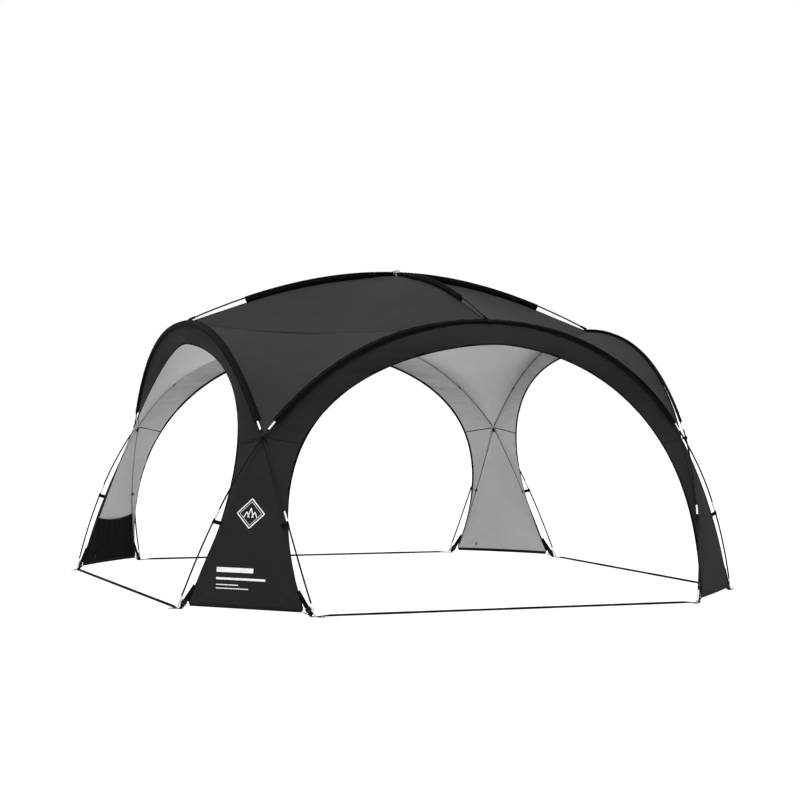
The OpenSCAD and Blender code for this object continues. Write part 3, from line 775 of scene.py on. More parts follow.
for side in range(4):
    make_pole(SIDES[side] + "_arch_pole", ARCH_CURVE, ARCH_SECTIONS, FOOT_TUBE, side)
make_pole("cross_roof_pole", CROSS_CURVE, ROOF_SECTIONS, CUP_LEN, 0)
make_pole("fore_aft_roof_pole", FORE_AFT_CURVE, ROOF_SECTIONS, CUP_LEN, 1)
make_ferrules()


# ---------------------------------------------------------------- sleeves
def sleeve_profiles(s, depth, seed, wall=0.0):
    """Sections of a cloth sleeve over a round pole, sewn down depth under it, and gathered."""
    x = np.linspace(1, -1, 21)
    half = SLEEVE_W / 2 - wall + 0.0016 * ripple(s, [0.11, 0.043], seed)
    gather = 0.0008 * ripple(s, [0.031, 0.017, 0.058], seed + 1)
    lean = 0.0015 * ripple(s, [0.37, 0.16], seed + 2)
    depth = depth[:, None]
    top_x = half[:, None] * x[None]
    crown = np.exp(-(abs(top_x - lean[:, None]) / 0.0108) ** 2.6)
    folds = np.stack([ripple(s + 0.01 * i, [0.026, 0.049], seed + 3) for i in range(len(x))], 1)
    top_y = 0.0014 + wall - depth + (depth + 0.0078 - 2 * wall + gather[:, None]) * crown
    top_y += 0.0007 * folds * (1 - abs(x[None]) ** 4) * (1.2 - crown)
    top_y = np.maximum(top_y, 0.0006 + wall - depth)
    base_x = top_x[:, ::-1][:, 1:-1]
    base_y = 0.6 * wall - depth + 0 * base_x
    return np.concatenate([np.stack([top_x, top_y], -1), np.stack([base_x, base_y], -1)], 1)


def deep_profiles(s, depth, seed, wall=0.0):
    """Sections of a cloth sleeve that hangs from its pole: round on top, full, then sewn to a seam."""
    top = 0.0088 - wall
    turn_over = np.linspace(0, math.pi, 11)
    f = np.linspace(0, 1, 10)[1:]
    x, y = [], []
    for sign in (1, -1):
        full = 0.0150 + 0.0024 * ripple(s, [0.19, 0.083, 0.31], seed + 7 + sign)
        side = (full[:, None] - top) * np.sin(np.pi * f) ** 1.2 + (1 - f) * top + 0.0025 * f ** 3
        folds = np.stack([ripple(s - 0.05 * v, [0.045, 0.027], seed + 3 + sign) for v in f], 1)
        x.append(sign * (side + 0.0012 * folds * np.sin(np.pi * f)))
        y.append(-depth[:, None] * f[None])
    over = 0 * s[:, None]
    round_x, round_y = top * np.cos(turn_over) + over, top * np.sin(turn_over) + over
    xs = np.concatenate([x[0][:, ::-1], round_x, x[1]], 1)
    ys = np.concatenate([y[0][:, ::-1], round_y, y[1]], 1)
    return np.stack([xs, ys], -1)


def pipe(path, ups, outer, inner):
    """A tube with open ends and a wall between its outer and inner profiles."""
    a, fa = sweep(path, ups, outer)
    b, fb = sweep(path, ups, inner)
    n, m = len(path), outer.shape[1]
    walls = fa[:-2] + [tuple(i + len(a) for i in reversed(f)) for f in fb[:-2]]
    last = (n - 1) * m
    for k in range(m):
        j = (k + 1) % m
        walls.append((k, k + len(a), j + len(a), j))
        walls.append((last + k, last + j, last + j + len(a), last + k + len(a)))
    return np.concatenate([a, b]), walls


SLEEVE_STEP, SLEEVE_WALL = 0.009, 0.0006


def make_sleeve(node, c, start, end, k, seed, depth_at, profiles):
    s = np.arange(start, end, SLEEVE_STEP)
    path = c.at(s)
    depth = depth_at(path)
    outer, inner = profiles(s, depth, seed), profiles(s, depth, seed, SLEEVE_WALL)
    part = pipe(path, radial(path), outer, inner)
    group = Group()
    group.add(turned(part, k), np.concatenate([sweep_uv(path, outer), sweep_uv(path, inner)]))
    group.build(node + "_cloth", [SLEEVE], node, "sleeve_cloth")


def arch_depth(path):
    return np.full(len(path), SEAM_DROP)


def roof_depth(path):
    seam = roof_seam(abs(path[:, 0]) / abs(SEAM_TOP[1]))
    return path[:, 2] - seam[:, 2]


def roof_s(c, x):
    return root(lambda s: float(c.at(s)[0]) - x, 0, c.length)


for side in range(4):
    make_sleeve(
        SIDES[side] + "_arch_sleeve", ARCH_CURVE, CROSS_S + SLEEVE_START,
        ARCH_CURVE.length - CROSS_S - SLEEVE_START, side, 10 * side + 1, arch_depth, sleeve_profiles,
    )
for node, c, sign, k in [
    ("right_roof_sleeve", CROSS_CURVE, 1, 0), ("left_roof_sleeve", CROSS_CURVE, -1, 0),
    ("back_roof_sleeve", FORE_AFT_CURVE, 1, 1), ("front_roof_sleeve", FORE_AFT_CURVE, -1, 1),
]:
    ends = sorted((roof_s(c, sign * SLEEVE_FROM), roof_s(c, sign * SLEEVE_TO)))
    make_sleeve(node, c, *ends, k, 60 + 7 * k + 3 * sign, roof_depth, deep_profiles)


# ---------------------------------------------------------------- canopy cloth
def normals_of(grid):
    """Outward unit normals of a grid whose cross(dv, du) points out."""
    n = np.cross(np.gradient(grid, axis=1), np.gradient(grid, axis=0))
    return n / np.maximum(np.linalg.norm(n, axis=-1, keepdims=True), 1e-12)


def grid_faces(nu, nv, keep=None):
    """Faces of a (nu+1) by (nv+1) grid; keep 'upper' or 'lower' takes one side of u + v = 1."""
    faces = []
    for i in range(nu):
        for j in range(nv):
            a, b = i * (nv + 1) + j, (i + 1) * (nv + 1) + j
            d, c = a + 1, b + 1
            if keep is None:
                faces.append((a, d, c, b))
                continue
            total = i + j
            if total < nu - 1 and keep == "upper" or total > nu - 1 and keep == "lower":
                faces.append((a, d, c, b))
            elif total == nu - 1:
                faces.append((a, d, b) if keep == "upper" else (d, c, b))
    return faces


def grid_uv(grid):
    """Distances along both grid directions, as flat cloth coordinates."""
    u, v = np.zeros(grid.shape[:2]), np.zeros(grid.shape[:2])
    u[1:] = np.cumsum(np.linalg.norm(np.diff(grid, axis=0), axis=-1), axis=0)
    v[:, 1:] = np.cumsum(np.linalg.norm(np.diff(grid, axis=1), axis=-1), axis=1)
    return np.stack([u - u[-1:] / 2, v - v[:, -1:] / 2], -1).reshape(-1, 2)


def sheet_part(grid, keep, outward):
    """A grid with thickness, as points, faces, materials, uv and area; outward picks its outside."""
    nu, nv = grid.shape[0] - 1, grid.shape[1] - 1
    normal = normals_of(grid).reshape(-1, 3)
    outer, faces = grid.reshape(-1, 3), grid_faces(nu, nv, keep)
    if (normal @ unit(outward)).mean() < 0:
        normal, faces = -normal, [tuple(reversed(f)) for f in faces]
    used = sorted({i for f in faces for i in f})
    order = {old: new for new, old in enumerate(used)}
    faces = [tuple(order[i] for i in f) for f in faces]
    points = np.concatenate([outer[used], (outer - CLOTH_T * normal)[used]])
    faces, inside, rim = thickened(faces, len(used))
    indices = [0] * len(faces) + [1] * len(inside) + [0] * len(rim)
    area = sum(face_area(points[list(f)]) for f in faces)
    return points, faces + inside + rim, indices, grid_uv(grid)[used], area


def face_area(p):
    return sum(np.linalg.norm(np.cross(p[i] - p[0], p[i + 1] - p[0])) for i in range(1, len(p) - 1)) / 2


def cloth(node, grids, outwards, materials, keep=None, slot="canopy_cloth"):
    """One object of sewn cloth, with the materials of its outside and inside."""
    built = [sheet_part(grid, keep, outward) for grid, outward in zip(grids, outwards)]
    indices = [i for part in built for i in part[2]]
    obj = make(node + "_cloth", *join([part[:2] for part in built]), materials, node, slot, indices=indices)
    lay_uv(obj, np.concatenate([np.concatenate([part[3]] * 2) for part in built]))


def relax(grid, pinned, rounds):
    """Pulls the free points to the mean of their neighbours, as stretched cloth does."""
    p = grid.copy()
    for _ in range(rounds):
        mean = (p[2:, 1:-1] + p[:-2, 1:-1] + p[1:-1, 2:] + p[1:-1, :-2]) / 4
        free = ~pinned[1:-1, 1:-1]
        p[1:-1, 1:-1][free] = mean[free]
    return p


ROOF_N, ROOF_PULL, RELAX_ROUNDS = 96, 0.24, 3000
SEAM_SAG = np.array([0.014, 0.014, -0.070])  # middle of the diagonal seam, from a straight line


def roof_quadrant():
    """Front left quarter of the roof: u runs to the front arch and v to the left arch."""
    f = np.linspace(0, 1, ROOF_N + 1)
    low, far = roof_seam(f), arch_seam(f, -1)
    near, high = swap(low), swap(far)
    u, v = f[:, None, None], f[None, :, None]
    ruled = (1 - v) * low[:, None] + v * high[:, None] + (1 - u) * near[None] + u * far[None]
    corners = (
        (1 - u) * (1 - v) * low[0] + u * (1 - v) * low[-1] + (1 - u) * v * near[-1] + u * v * far[-1]
    )
    grid = ruled - corners
    grid += ROOF_PULL * 16 * u * (1 - u) * v * (1 - v) * unit([1, 1, -3.7])
    pinned = np.zeros((ROOF_N + 1, ROOF_N + 1), bool)
    for i in range(ROOF_N + 1):
        g = i / ROOF_N
        chord = (1 - g) * low[-1] + g * near[-1]
        grid[ROOF_N - i, i] = chord + 4 * g * (1 - g) * SEAM_SAG
        pinned[ROOF_N - i, i] = True
    return relax(grid, pinned, RELAX_ROUNDS)


def crumple(grid, fields):
    """Moves each point along its normal by the sum of the fields."""
    return grid + sum(fields)[..., None] * normals_of(grid)


def blobs(grid, seed, size, count=14):
    """Smooth random unevenness over a grid, of height about 1."""
    rng = np.random.default_rng(seed)
    total = np.zeros(grid.shape[:2])
    for _ in range(count):
        d = unit(rng.normal(size=3))
        length = size * rng.uniform(0.6, 1.6)
        total += np.sin(grid @ d * 2 * np.pi / length + rng.uniform(0, ANY_PHASE))
    return total / math.sqrt(count / 2)


FAN_START, FADE = 0.15, 0.06  # metres from the corner; share of the grid's width


def fan(grid, corner, reach, spokes, seed):
    """Tension folds that spread from a corner and fade with distance."""
    rng = np.random.default_rng(seed)
    offset = grid - corner
    away = np.linalg.norm(offset, axis=-1)
    n = normals_of(grid)[tuple(s // 2 for s in grid.shape[:2])]
    a = unit(np.cross(n, UP + 0.01))
    b = np.cross(n, a)
    angle = np.arctan2(offset @ b, offset @ a)
    wave = np.sin(spokes * angle + rng.uniform(0, ANY_PHASE))
    wave += 0.5 * np.sin(round(2.3 * spokes) * angle + rng.uniform(0, ANY_PHASE))
    return wave * np.exp(-away / reach) * np.clip(away / FAN_START, 0, 1) ** 2


def edge_fade(shape):
    """0 on the rim of a grid and 1 inside it."""
    u, v = (np.linspace(0, 1, count) for count in shape[:2])
    return ease(np.minimum(u, 1 - u) / FADE)[:, None] * ease(np.minimum(v, 1 - v) / FADE)[None]


def pucker(distance, s, reach, seed, wavelength=0.055):
    """Short puckers across a seam, at a distance from it and a length s along it."""
    return ripple(s, [wavelength, wavelength * 1.9], seed) * np.exp(-(distance / reach) ** 2)


QUADRANT = roof_quadrant()


def make_roof(k):
    grid = turn(QUADRANT, k)
    u = np.linspace(0, 1, ROOF_N + 1)[:, None] + np.zeros((1, ROOF_N + 1))
    v = u.T
    size = 1.65
    fields = [
        0.0022 * blobs(grid, 100 + k, 0.9),
        0.0045 * fan(grid, grid[-1, -1], 0.30, 9, 110 + k),
        0.0030 * fan(grid, grid[0, 0], 0.22, 7, 120 + k),
        0.0030 * fan(grid, grid[-1, 0], 0.25, 8, 130 + k),
        0.0030 * fan(grid, grid[0, -1], 0.25, 8, 140 + k),
        0.0011 * pucker((1 - u) * size, v * size, 0.06, 150 + k),
        0.0011 * pucker((1 - v) * size, u * size, 0.06, 160 + k),
        0.0009 * pucker(v * size, u * size, 0.05, 170 + k),
        0.0009 * pucker(u * size, v * size, 0.05, 180 + k),
        0.0008 * pucker((u + v - 1) * size * 0.7, (u - v) * size * 0.7, 0.05, 190 + k),
    ]
    fade = edge_fade(u.shape)
    grid = crumple(grid, [f * fade for f in fields])
    cloth(CORNERS[k] + "_roof_panel", [grid], [UP], [OUTER, LINING], "upper")
    cloth(CORNERS[k] + "_shoulder", [grid], [UP], [OUTER, LINING], "lower")


def visor_grid(k, nu=200, nv=14):
    """Visor band of side k before its wrinkles; u runs along it and v from the edge to the pole."""
    w = np.linspace(-1, 1, nu + 1)
    side = sign_of(w)
    v = np.linspace(0, 1, nv + 1)[None, :, None]
    low = edge_upper(abs(w), side, k)[:, None]
    return turn(low * (1 - v) + arch_seam(abs(w), side)[:, None] * v, k)


def make_visor(k):
    grid = visor_grid(k)
    nu, nv = grid.shape[0] - 1, grid.shape[1] - 1
    f = abs(np.linspace(-1, 1, nu + 1))[:, None]
    rise = np.linspace(0, 1, nv + 1)[None] + 0 * f
    s = along(grid[:, 0])[:, None] + 0 * rise
    belly = 4 * rise * (1 - rise)
    fields = [
        -0.006 * belly,
        0.0035 * ripple(s + 0.10 * rise, [0.31, 0.17], 200 + k) * (1 - rise) * np.clip(rise * 6, 0, 1),
        0.0022 * ripple(s - 0.05 * rise, [0.09, 0.061], 210 + k) * belly * f ** 2,
        0.0010 * pucker((1 - rise) * 0.16, s, 0.04, 220 + k, 0.045),
        0.0045 * fan(grid, grid[0, -1], 0.16, 8, 230 + k),
        0.0045 * fan(grid, grid[-1, -1], 0.16, 8, 240 + k),
    ]
    fade = edge_fade(grid.shape[:2]) ** 0.5
    grid = crumple(grid, [x * fade for x in fields])
    # The visor gets the darker copy of the cloth, painted shade.
    cloth(SIDES[k] + "_visor", [grid], [turn(np.array([0.0, -1.0, 0.1]), k)], [SHADED_OXFORD, LINING])


LEG_TOP = 0.975


def leg_points(u, v):
    """Front left leg panel; u runs up and v from the front fold to the left one."""
    g = u * LEG_TOP
    a = leg_seam(g)
    b = swap(a)
    v = v[..., None]
    bulge = 0.012 * 4 * v * (1 - v) * (1 - g[..., None])
    return a + v * (b - a) + bulge * unit([-1, -1, 0.25])


def leg_grid(k, nu=120, nv=72):
    u, v = np.meshgrid(np.linspace(0, 1, nu + 1), np.linspace(0, 1, nv + 1), indexing="ij")
    grid = turn(leg_points(u, v), k)
    width = np.linalg.norm(grid[:, -1] - grid[:, 0], axis=-1)[:, None]
    fields = [
        0.0030 * blobs(grid, 300 + k, 0.55),
        0.0050 * fan(grid, grid[0, 0], 0.22, 7, 310 + k),
        0.0050 * fan(grid, grid[0, -1], 0.22, 7, 320 + k),
        0.0050 * fan(grid, grid[-1, nv // 2], 0.22, 6, 330 + k),
        0.0009 * pucker(v * width, u, 0.03, 340 + k, 0.05),
        0.0009 * pucker((1 - v) * width, u, 0.03, 350 + k, 0.05),
        0.0012 * pucker(u, v * width, 0.04, 360 + k, 0.06),
    ]
    return crumple(grid, [f * edge_fade(u.shape) for f in fields])


LEGS = [leg_grid(k) for k in range(4)]


WING_FROM = 0.01


def wing_grid(nu=90, nv=8):
    """Strip from the opening's edge to the front fold of the front left leg."""
    g = WING_FROM + (1 - WING_FROM) * np.linspace(0, 1, nu + 1)
    v = np.linspace(0, 1, nv + 1)[None, :, None]
    return edge_lower(g)[:, None] * (1 - v) + leg_seam(g)[:, None] * v


def make_wings(k):
    """The two narrow strips of one side, cut head to tail from one length of cloth."""
    grids = []
    for mirror in (1, -1):
        grid = turn(wing_grid() * [mirror, 1, 1], k)
        s = along(grid[:, 0])[:, None] + 0 * grid[..., 0]
        v = np.linspace(0, 1, grid.shape[1])[None]
        mid = 4 * v * (1 - v) * np.clip(s / 0.3, 0, 1)
        wave = 0.0014 * ripple(s, [0.19, 0.10], 400 + k + 5 * mirror) - 0.003
        grids.append(crumple(grid, [wave * mid]))
    outwards = [turn(LEG_OUT, k), turn(LEG_OUT * [-1, 1, 1], k)]
    # The wings get the darker copy of the cloth, painted shade.
    cloth(SIDES[k] + "_leg_wings", grids, outwards, [SHADED_OXFORD, LINING])


for side in range(4):
    make_roof(side)
    make_visor(side)
    # The legs get the darker copy of the cloth, painted shade.
    cloth(CORNERS[side] + "_leg", [LEGS[side]], [turn(LEG_OUT, side)], [SHADED_OXFORD, LINING])
    make_wings(side)

# ---------------------------------------------------------------- metal ends and fittings
TIP_R, TIP_LEN = 0.0034, 0.016
FOOT = swap(ARCH_CURVE.at(0.0))
FOOT_SPOT = FOOT * [1, 1, 0]
FOOT_DIR = unit(swap(ARCH_CURVE.at(FOOT_TUBE)) - FOOT)
STRAP_DIR = unit(HEM_CORNER - [0, 0, HEM_H] - FOOT_SPOT)
TAB_LIFT, TAB_T = 0.0004, 0.0026
PEG_REACH, TAB_INNER, TAB_OUTER = 0.046, 0.034, 0.016


def make_foot_tubes():
    """Metal foot of each pole: a tube with a crimp, and a tip with a rounded end."""
    low = math.sqrt(1 - FOOT_DIR[2] ** 2) / FOOT_DIR[2] * TIP_R
    r, crimp, top = FERRULE_R, FERRULE_R - 0.0005, FOOT_TUBE
    stations = [
        (low + 0.0001, 0.0016), (low + 0.0006, 0.0027), (low + 0.0018, TIP_R - 0.0002), (low + 0.003, TIP_R),
        (TIP_LEN - 0.0002, TIP_R), (TIP_LEN, r - 0.0010), (TIP_LEN + 0.0010, r),
        (TIP_LEN + 0.0080, r), (TIP_LEN + 0.0085, crimp), (TIP_LEN + 0.0100, crimp), (TIP_LEN + 0.0105, r),
        (top - 0.0105, r), (top - 0.0100, crimp), (top - 0.0085, crimp), (top - 0.0080, r),
        (top - 0.0012, r), (top - 0.0006, r + 0.0001), (top, r - 0.0006),
    ]
    group = Group()
    group.add_folds(lathe(FOOT, FOOT_DIR, stations))
    group.build("pole_foot_tubes_turned", [METAL], "pole_foot_tubes", "pole_metal")


def make_grommets(node, reach):
    """Eyelets in the foot tabs: a rolled rim over the webbing and a washer under it."""
    section = np.array([
        [5.5, 0.5], [5.5, 2.9], [5.8, 3.4], [6.4, 3.6], [7.1, 3.5], [8.0, 3.2], [9.3, 3.2], [9.9, 3.0],
        [10.0, 2.7], [9.7, 2.5], [7.2, 2.5], [7.0, 2.3], [7.0, 0.7], [7.2, 0.5], [9.7, 0.5], [10.0, 0.3],
        [9.8, 0.05], [6.2, 0.0], [5.7, 0.15],
    ]) / 1000
    centre = FOOT_SPOT - reach * STRAP_DIR
    group = Group()
    group.add_folds(revolve(centre, section))
    group.build(node + "_rolled", [GROMMET], node, "grommet_metal")


def make_foot_tabs():
    """Webbing tabs on the ground, with a rounded outer end and holes for the eyelets."""
    half = WEB_W / 2
    turn_in = np.linspace(-90, 90, 9)[::-1] * math.pi / 180
    outer_end = np.stack([
        -PEG_REACH - TAB_OUTER + 0.008 - 0.008 * np.cos(turn_in), half * np.sin(turn_in)
    ], -1)
    outline = np.concatenate([[[TAB_INNER, -half], [TAB_INNER, half]], outer_end])
    holes = [circle(0, 0, 0.0068), circle(-PEG_REACH, 0, 0.0068)]
    points, faces = plate(outline, holes, TAB_LIFT, TAB_LIFT + TAB_T)
    x, y = STRAP_DIR[:2]
    moved = points @ np.array([[x, y, 0], [-y, x, 0], [0, 0, 1]]) + FOOT_SPOT
    group = Group()
    group.add_folds(solid(moved, faces), points[:, [0, 1]] + [0.2, half])
    group.build("foot_tabs_webbing", [WEBBING], "foot_tabs", "webbing", smooth=False)


make_foot_tubes()
make_grommets("tip_grommets", 0.0)
make_grommets("peg_grommets", PEG_REACH)
make_foot_tabs()


# ---------------------------------------------------------------- corner and leg webbing
STRAP_HIGH = leg_seam(0.115) + 0.002 * unit([-1, -1, 0])
STRAP_START = FOOT_SPOT + 0.024 * STRAP_DIR + [0, 0, TAB_LIFT + TAB_T]
STRAP_LOW = STRAP_START + 0.003 * UP
STRAP_RUN = unit(STRAP_HIGH - STRAP_LOW)
STRAP_WIDE = unit(np.cross(STRAP_RUN, [1, 1, 0]))
STRAP_OUT = np.cross(STRAP_RUN, STRAP_WIDE)


def make_corner_straps():
    """Webbing from the leg's fold, and a narrower one from the hem, down to each foot tab."""
    group = Group()
    f = np.linspace(0, 1, 25)[:, None]
    path = STRAP_LOW + f * (STRAP_HIGH - STRAP_LOW)
    tail = STRAP_LOW + STRAP_DIR * np.array([[0.010], [0.005]]) - 0.0019 * UP
    out = STRAP_OUT if STRAP_OUT[2] > 0 else -STRAP_OUT
    twist = np.clip(np.arange(-2, len(path)) / 3, 0, 1)[:, None]
    ups = unit(UP * (1 - twist) + out * twist)
    group.add_folds(*ribbon(np.concatenate([tail, path]), ups, WEB_W, WEB_T))
    low = STRAP_START + WEB_T / 2 * UP
    high = HEM_CORNER - [0, 0, 0.010]
    f = f[::2]
    group.add_folds(*ribbon(low + f * (high - low) - 0.001 * np.sin(np.pi * f) * UP, UP, 0.016, WEB_T))
    group.build("corner_strap_webbing", [WEBBING], "corner_straps", "webbing")


MID_S = 0.592
MID_G = root(lambda g: float(leg_seam(g)[2] - ARCH_CURVE.at(MID_S)[2] + 0.012), 0, 1)


def loop_path():
    """Webbing from a leg's fold out round the pole and back, in the plane across the pole."""
    pole = swap(ARCH_CURVE.at(MID_S))
    axis = swap(ARCH_CURVE.heading(MID_S))
    fold = leg_seam(MID_G)
    inward = unit(fold - pole - ((fold - pole) @ axis) * axis)
    over = np.cross(axis, inward)
    reach = float(np.linalg.norm(fold - pole))
    r = POLE_R + 0.0012
    angle = np.linspace(42, 318, 22) * math.pi / 180
    lead_x, lead_y = np.array([reach, 0.6 * reach, 0.021, 0.013]), np.array([0.0011, 0.0011, 0.0013, 0.0026])
    x = np.concatenate([lead_x, r * np.cos(angle), lead_x[::-1]])
    y = np.concatenate([lead_y, r * np.sin(angle), -lead_y[::-1]])
    slope = np.clip(x / reach, 0, 1)[:, None] * ((fold - pole) @ axis) * axis
    return pole + x[:, None] * inward + y[:, None] * over + slope, axis


def make_mid_straps():
    """Webbing that holds each leg's folds to the poles half way up."""
    path, axis = loop_path()
    group = Group()
    ups = np.cross(np.broadcast_to(axis, path.shape), tangents(path))
    group.add_folds(*ribbon(path, ups, 0.025, 0.0016))
    group.build("mid_leg_strap_webbing", [WEBBING], "mid_leg_straps", "webbing")


make_corner_straps()
make_mid_straps()


# ---------------------------------------------------------------- ties at the crossings
CROSSING = front(bezier(ARCH, CROSS_T), -1)


def tie_loop(centre, axis, out, a, b, height, wall=0.0024, n=40):
    """A webbing loop round two crossing poles; its section is its wall by its height."""
    side = np.cross(axis, out)
    t = 2 * np.pi * np.arange(n) / n
    path = centre + a * np.cos(t)[:, None] * out + b * np.sin(t)[:, None] * side
    return closed_sweep(path, np.broadcast_to(axis, path.shape), rounded(height, wall)[:, ::-1])


def lashing(curve, start, end, seed, r=0.0016):
    """Cord wound unevenly round a pole, from one length along it to another."""
    s = np.linspace(start, end, 900)
    run = curve.heading(s)
    side = unit(np.cross(run, UP))
    angle = (abs(s - start) / 0.0036 * 2 * np.pi + 1.5 * ripple(s, [0.034, 0.019], seed))[:, None]
    away = np.cos(angle) * side + np.sin(angle) * np.cross(side, run)
    proud = POLE_R + 0.9 * r + 0.0016 * np.clip(ripple(s, [0.023, 0.013], seed + 1), 0, 1.5)
    path = curve.at(s) + proud[:, None] * away
    profile = ring_profile(r, 6)
    return sweep(path, away, profile), sweep_uv(path, profile)


def make_ties():
    """Webbing and cord that tie the poles together, at the four crossings and at the top."""
    group = Group()
    out = radial(CROSSING)
    axis = unit(UP - (UP @ out) * out)
    group.add_turns(*tie_loop(CROSSING, axis, out, 0.0168, 0.0135, 0.018))
    knot, f = CROSSING + 0.0155 * out, np.linspace(0, 1, 9)[:, None]
    for sign, drop in ((-1, 0.035), (1, 0.028)):
        tail = knot + 0.010 * f * sign * np.cross(axis, out) - drop * f ** 1.4 * axis
        group.add_turns(*cord_along(tail + (0.004 * np.sin(np.pi * f) - 0.012 * f) * out, 0.0016))
    stations = [(0, 0.002), (0.001, 0.0035), (0.005, 0.0042), (0.009, 0.0035), (0.010, 0.002)]
    group.add_turns(lathe(knot - 0.005 * axis, axis, stations, 12))
    outward, upward = np.array([[-0.010], [0.004], [0.012]]), np.array([[-0.016], [-0.006], [0.0]])
    sling = CROSSING - CROSS_DROP * out + outward * out + upward * axis
    group.add_turns(*ribbon(sling, axis, 0.020, 0.0016))
    apex = ROOF_H * UP
    group.add(*tie_loop(apex, unit([1, 1, 0]), UP, 0.0190, 0.0190, 0.008))
    for sign in (-1, 1):
        rise = 0.0195 + 0.010 * (1 - 0.3 * sign) * np.sin(2.2 * f) - 0.016 * f ** 2
        group.add(*cord_along(apex + rise * UP + f * np.array([-0.030 * sign, 0.012, 0.0]), 0.0026))
    for c, k in ROOF_POLES:
        for sign in (-1, 1):
            near, far = (c.length / 2 + sign * s for s in (0.024, SLEEVE_FROM - 0.002))
            part, uv = lashing(c, near, far, 980 + 4 * k + 2 * sign)
            group.add(turned(part, k), uv)
    group.build("crossing_tie_webbing", [WEBBING], "crossing_ties", "webbing")


def make_pole_pockets():
    """Webbing cups that hold the roof poles' ends, each sewn to an arch sleeve by a flat strap."""
    group = Group()
    stations = [(0.0004, 0.004), (0.0016, 0.0066), (0.004, 0.0081), (0.010, 0.0085), (0.034, 0.0083),
                (0.048, 0.0085), (0.0525, 0.0084), (0.054, 0.0078)]
    for c, k in ROOF_POLES:
        for start, inside in ((0.0, CUP_LEN), (c.length, c.length - CUP_LEN)):
            base = c.at(start)
            group.add(turned(lathe(base, c.at(inside) - base, stations), k))
            sign = 1.0 if base[0] > 0 else -1.0
            strap = np.array([
                [1.520, 0, 1.8450], [1.540, 0, 1.8330], [1.556, 0, 1.8275], [1.568, 0, 1.8300],
                [1.580, 0, 1.8315], [1.591, 0, 1.8260], [1.597, 0, 1.8160],
            ]) * [sign, 1, 1]
            part, uv = ribbon(Curve(strap).at(np.linspace(0, 0.09, 15)), UP, 0.025, 0.0014)
            group.add(turned(part, k), uv)
    group.build("roof_pole_pocket_webbing", [WEBBING], "roof_pole_pockets", "webbing")


make_ties()
make_pole_pockets()


# ---------------------------------------------------------------- seams, bindings and hems
def smoothed(v, rounds=6):
    """Unit directions evened out along a path."""
    v = np.asarray(v, float).copy()
    for _ in range(rounds):
        v[1:-1] = (v[:-2] + 2 * v[1:-1] + v[2:]) / 4
    return unit(v)


def side_normals(grid, column, outward):
    """Outward normals down one column of a grid."""
    n = normals_of(grid)[:, column]
    return n * np.sign((n @ unit(outward)).mean())


def make_seams():
    """Felled seams outside and dark tapes inside, along every line where two panels meet."""
    outside, inside = Group(), Group()

    def seam(path, ups, copies, width=0.006):
        ups = smoothed(ups)
        outer = ribbon(path + 0.0003 * ups, ups, width, 0.0012)
        inner = ribbon(path - (CLOTH_T + 0.0004) * ups, ups, width, 0.0010)
        for group, (part, uv) in ((outside, outer), (inside, inner)):
            getattr(group, copies)(part, uv)

    n = normals_of(QUADRANT)
    n = n * np.sign(n[ROOF_N // 2, ROOF_N // 2, 2])
    i = np.arange(2, ROOF_N - 1)
    seam(QUADRANT[ROOF_N - i, i], n[ROOF_N - i, i], "add_turns")
    ridge = roof_seam(np.linspace(0.004, 0.985, 90))
    seam(ridge, radial(ridge), "add_turns")
    w = np.linspace(-0.985, 0.985, 180)
    arch = arch_seam(abs(w), sign_of(w))
    seam(arch, radial(arch), "add_turns", 0.008)
    fold = leg_seam(np.linspace(0.02, 0.975, 60))
    seam(fold, unit(radial(fold) * [1, 1, 0.2]), "add_folds")
    f = np.linspace(0.03, 0.92, 24)[:, None]
    shelf = edge_lower(1.0) * (1 - f) + leg_seam(1.0) * f
    seam(shelf, np.broadcast_to([-0.25, -1.0, 0.1], shelf.shape), "add_folds")
    # The outside seams carry the darker copy of the cloth, a painted shade line.
    outside.build("felled_seams", [SHADED_SEAM_CLOTH], None, "canopy_cloth")
    inside.build("inside_seam_tapes", [TAPE], None, "binding_tape")


def make_gathers():
    """Spare cloth of the roof seams, gathered under the poles between their sleeves."""
    group = Group()
    s = np.linspace(0.020, SLEEVE_FROM + 0.006, 100)
    up = np.linspace(0, 1, 7)[None]
    for k in range(4):
        seam = roof_seam(s / abs(SEAM_TOP[1]))
        under = POLE_R + 0.0004 + (-CROSS_LIFT if k % 2 else CROSS_LIFT)
        room = np.interp(s, MID_ROOF.points[:, 0], MID_ROOF.points[:, 2]) - seam[:, 2] - under
        tall = room * (0.965 + 0.03 * np.clip(ripple(s, [0.021, 0.012], 940 + k), -1.2, 1.2))
        sway = 0.0035 * ripple(s, [0.034, 0.019], 950 + k)[:, None] * up
        sway += 0.0016 * ripple(s, [0.016, 0.027], 960 + k)[:, None] * np.sin(np.pi * up)
        high = tall[:, None] * up - 0.0008
        x = np.concatenate([sway - 0.0005, (sway + 0.0005)[:, ::-1]], 1)
        part = sweep(seam, radial(seam), np.stack([x, np.concatenate([high, high[:, ::-1]], 1)], -1))
        group.add(turned(part, k))
    group.build("roof_centre_gathers", [SLEEVE], None, "sleeve_cloth")


def make_bindings():
    """Tape folded over the edge of each opening, from hem to hem."""
    group = Group()
    for k in range(4):
        wing = wing_grid(80, 4)
        left = side_normals(wing, 0, LEG_OUT)
        visor = turn(visor_grid(k, 160, 4), -k)
        over = side_normals(visor, 0, [0, -1, 0.1])
        path = np.concatenate([wing[:-1, 0], visor[:, 0], (wing[:-1, 0] * [-1, 1, 1])[::-1]])
        ups = np.concatenate([left[:-1], over, (left[:-1] * [-1, 1, 1])[::-1]])
        part, uv = ribbon(path, smoothed(ups, 10), 0.0155, 0.0030, (-0.0055, -0.0006))
        group.add(turned(part, k), uv)
    group.build("opening_binding_tape", [BINDING], "opening_bindings", "binding_tape")


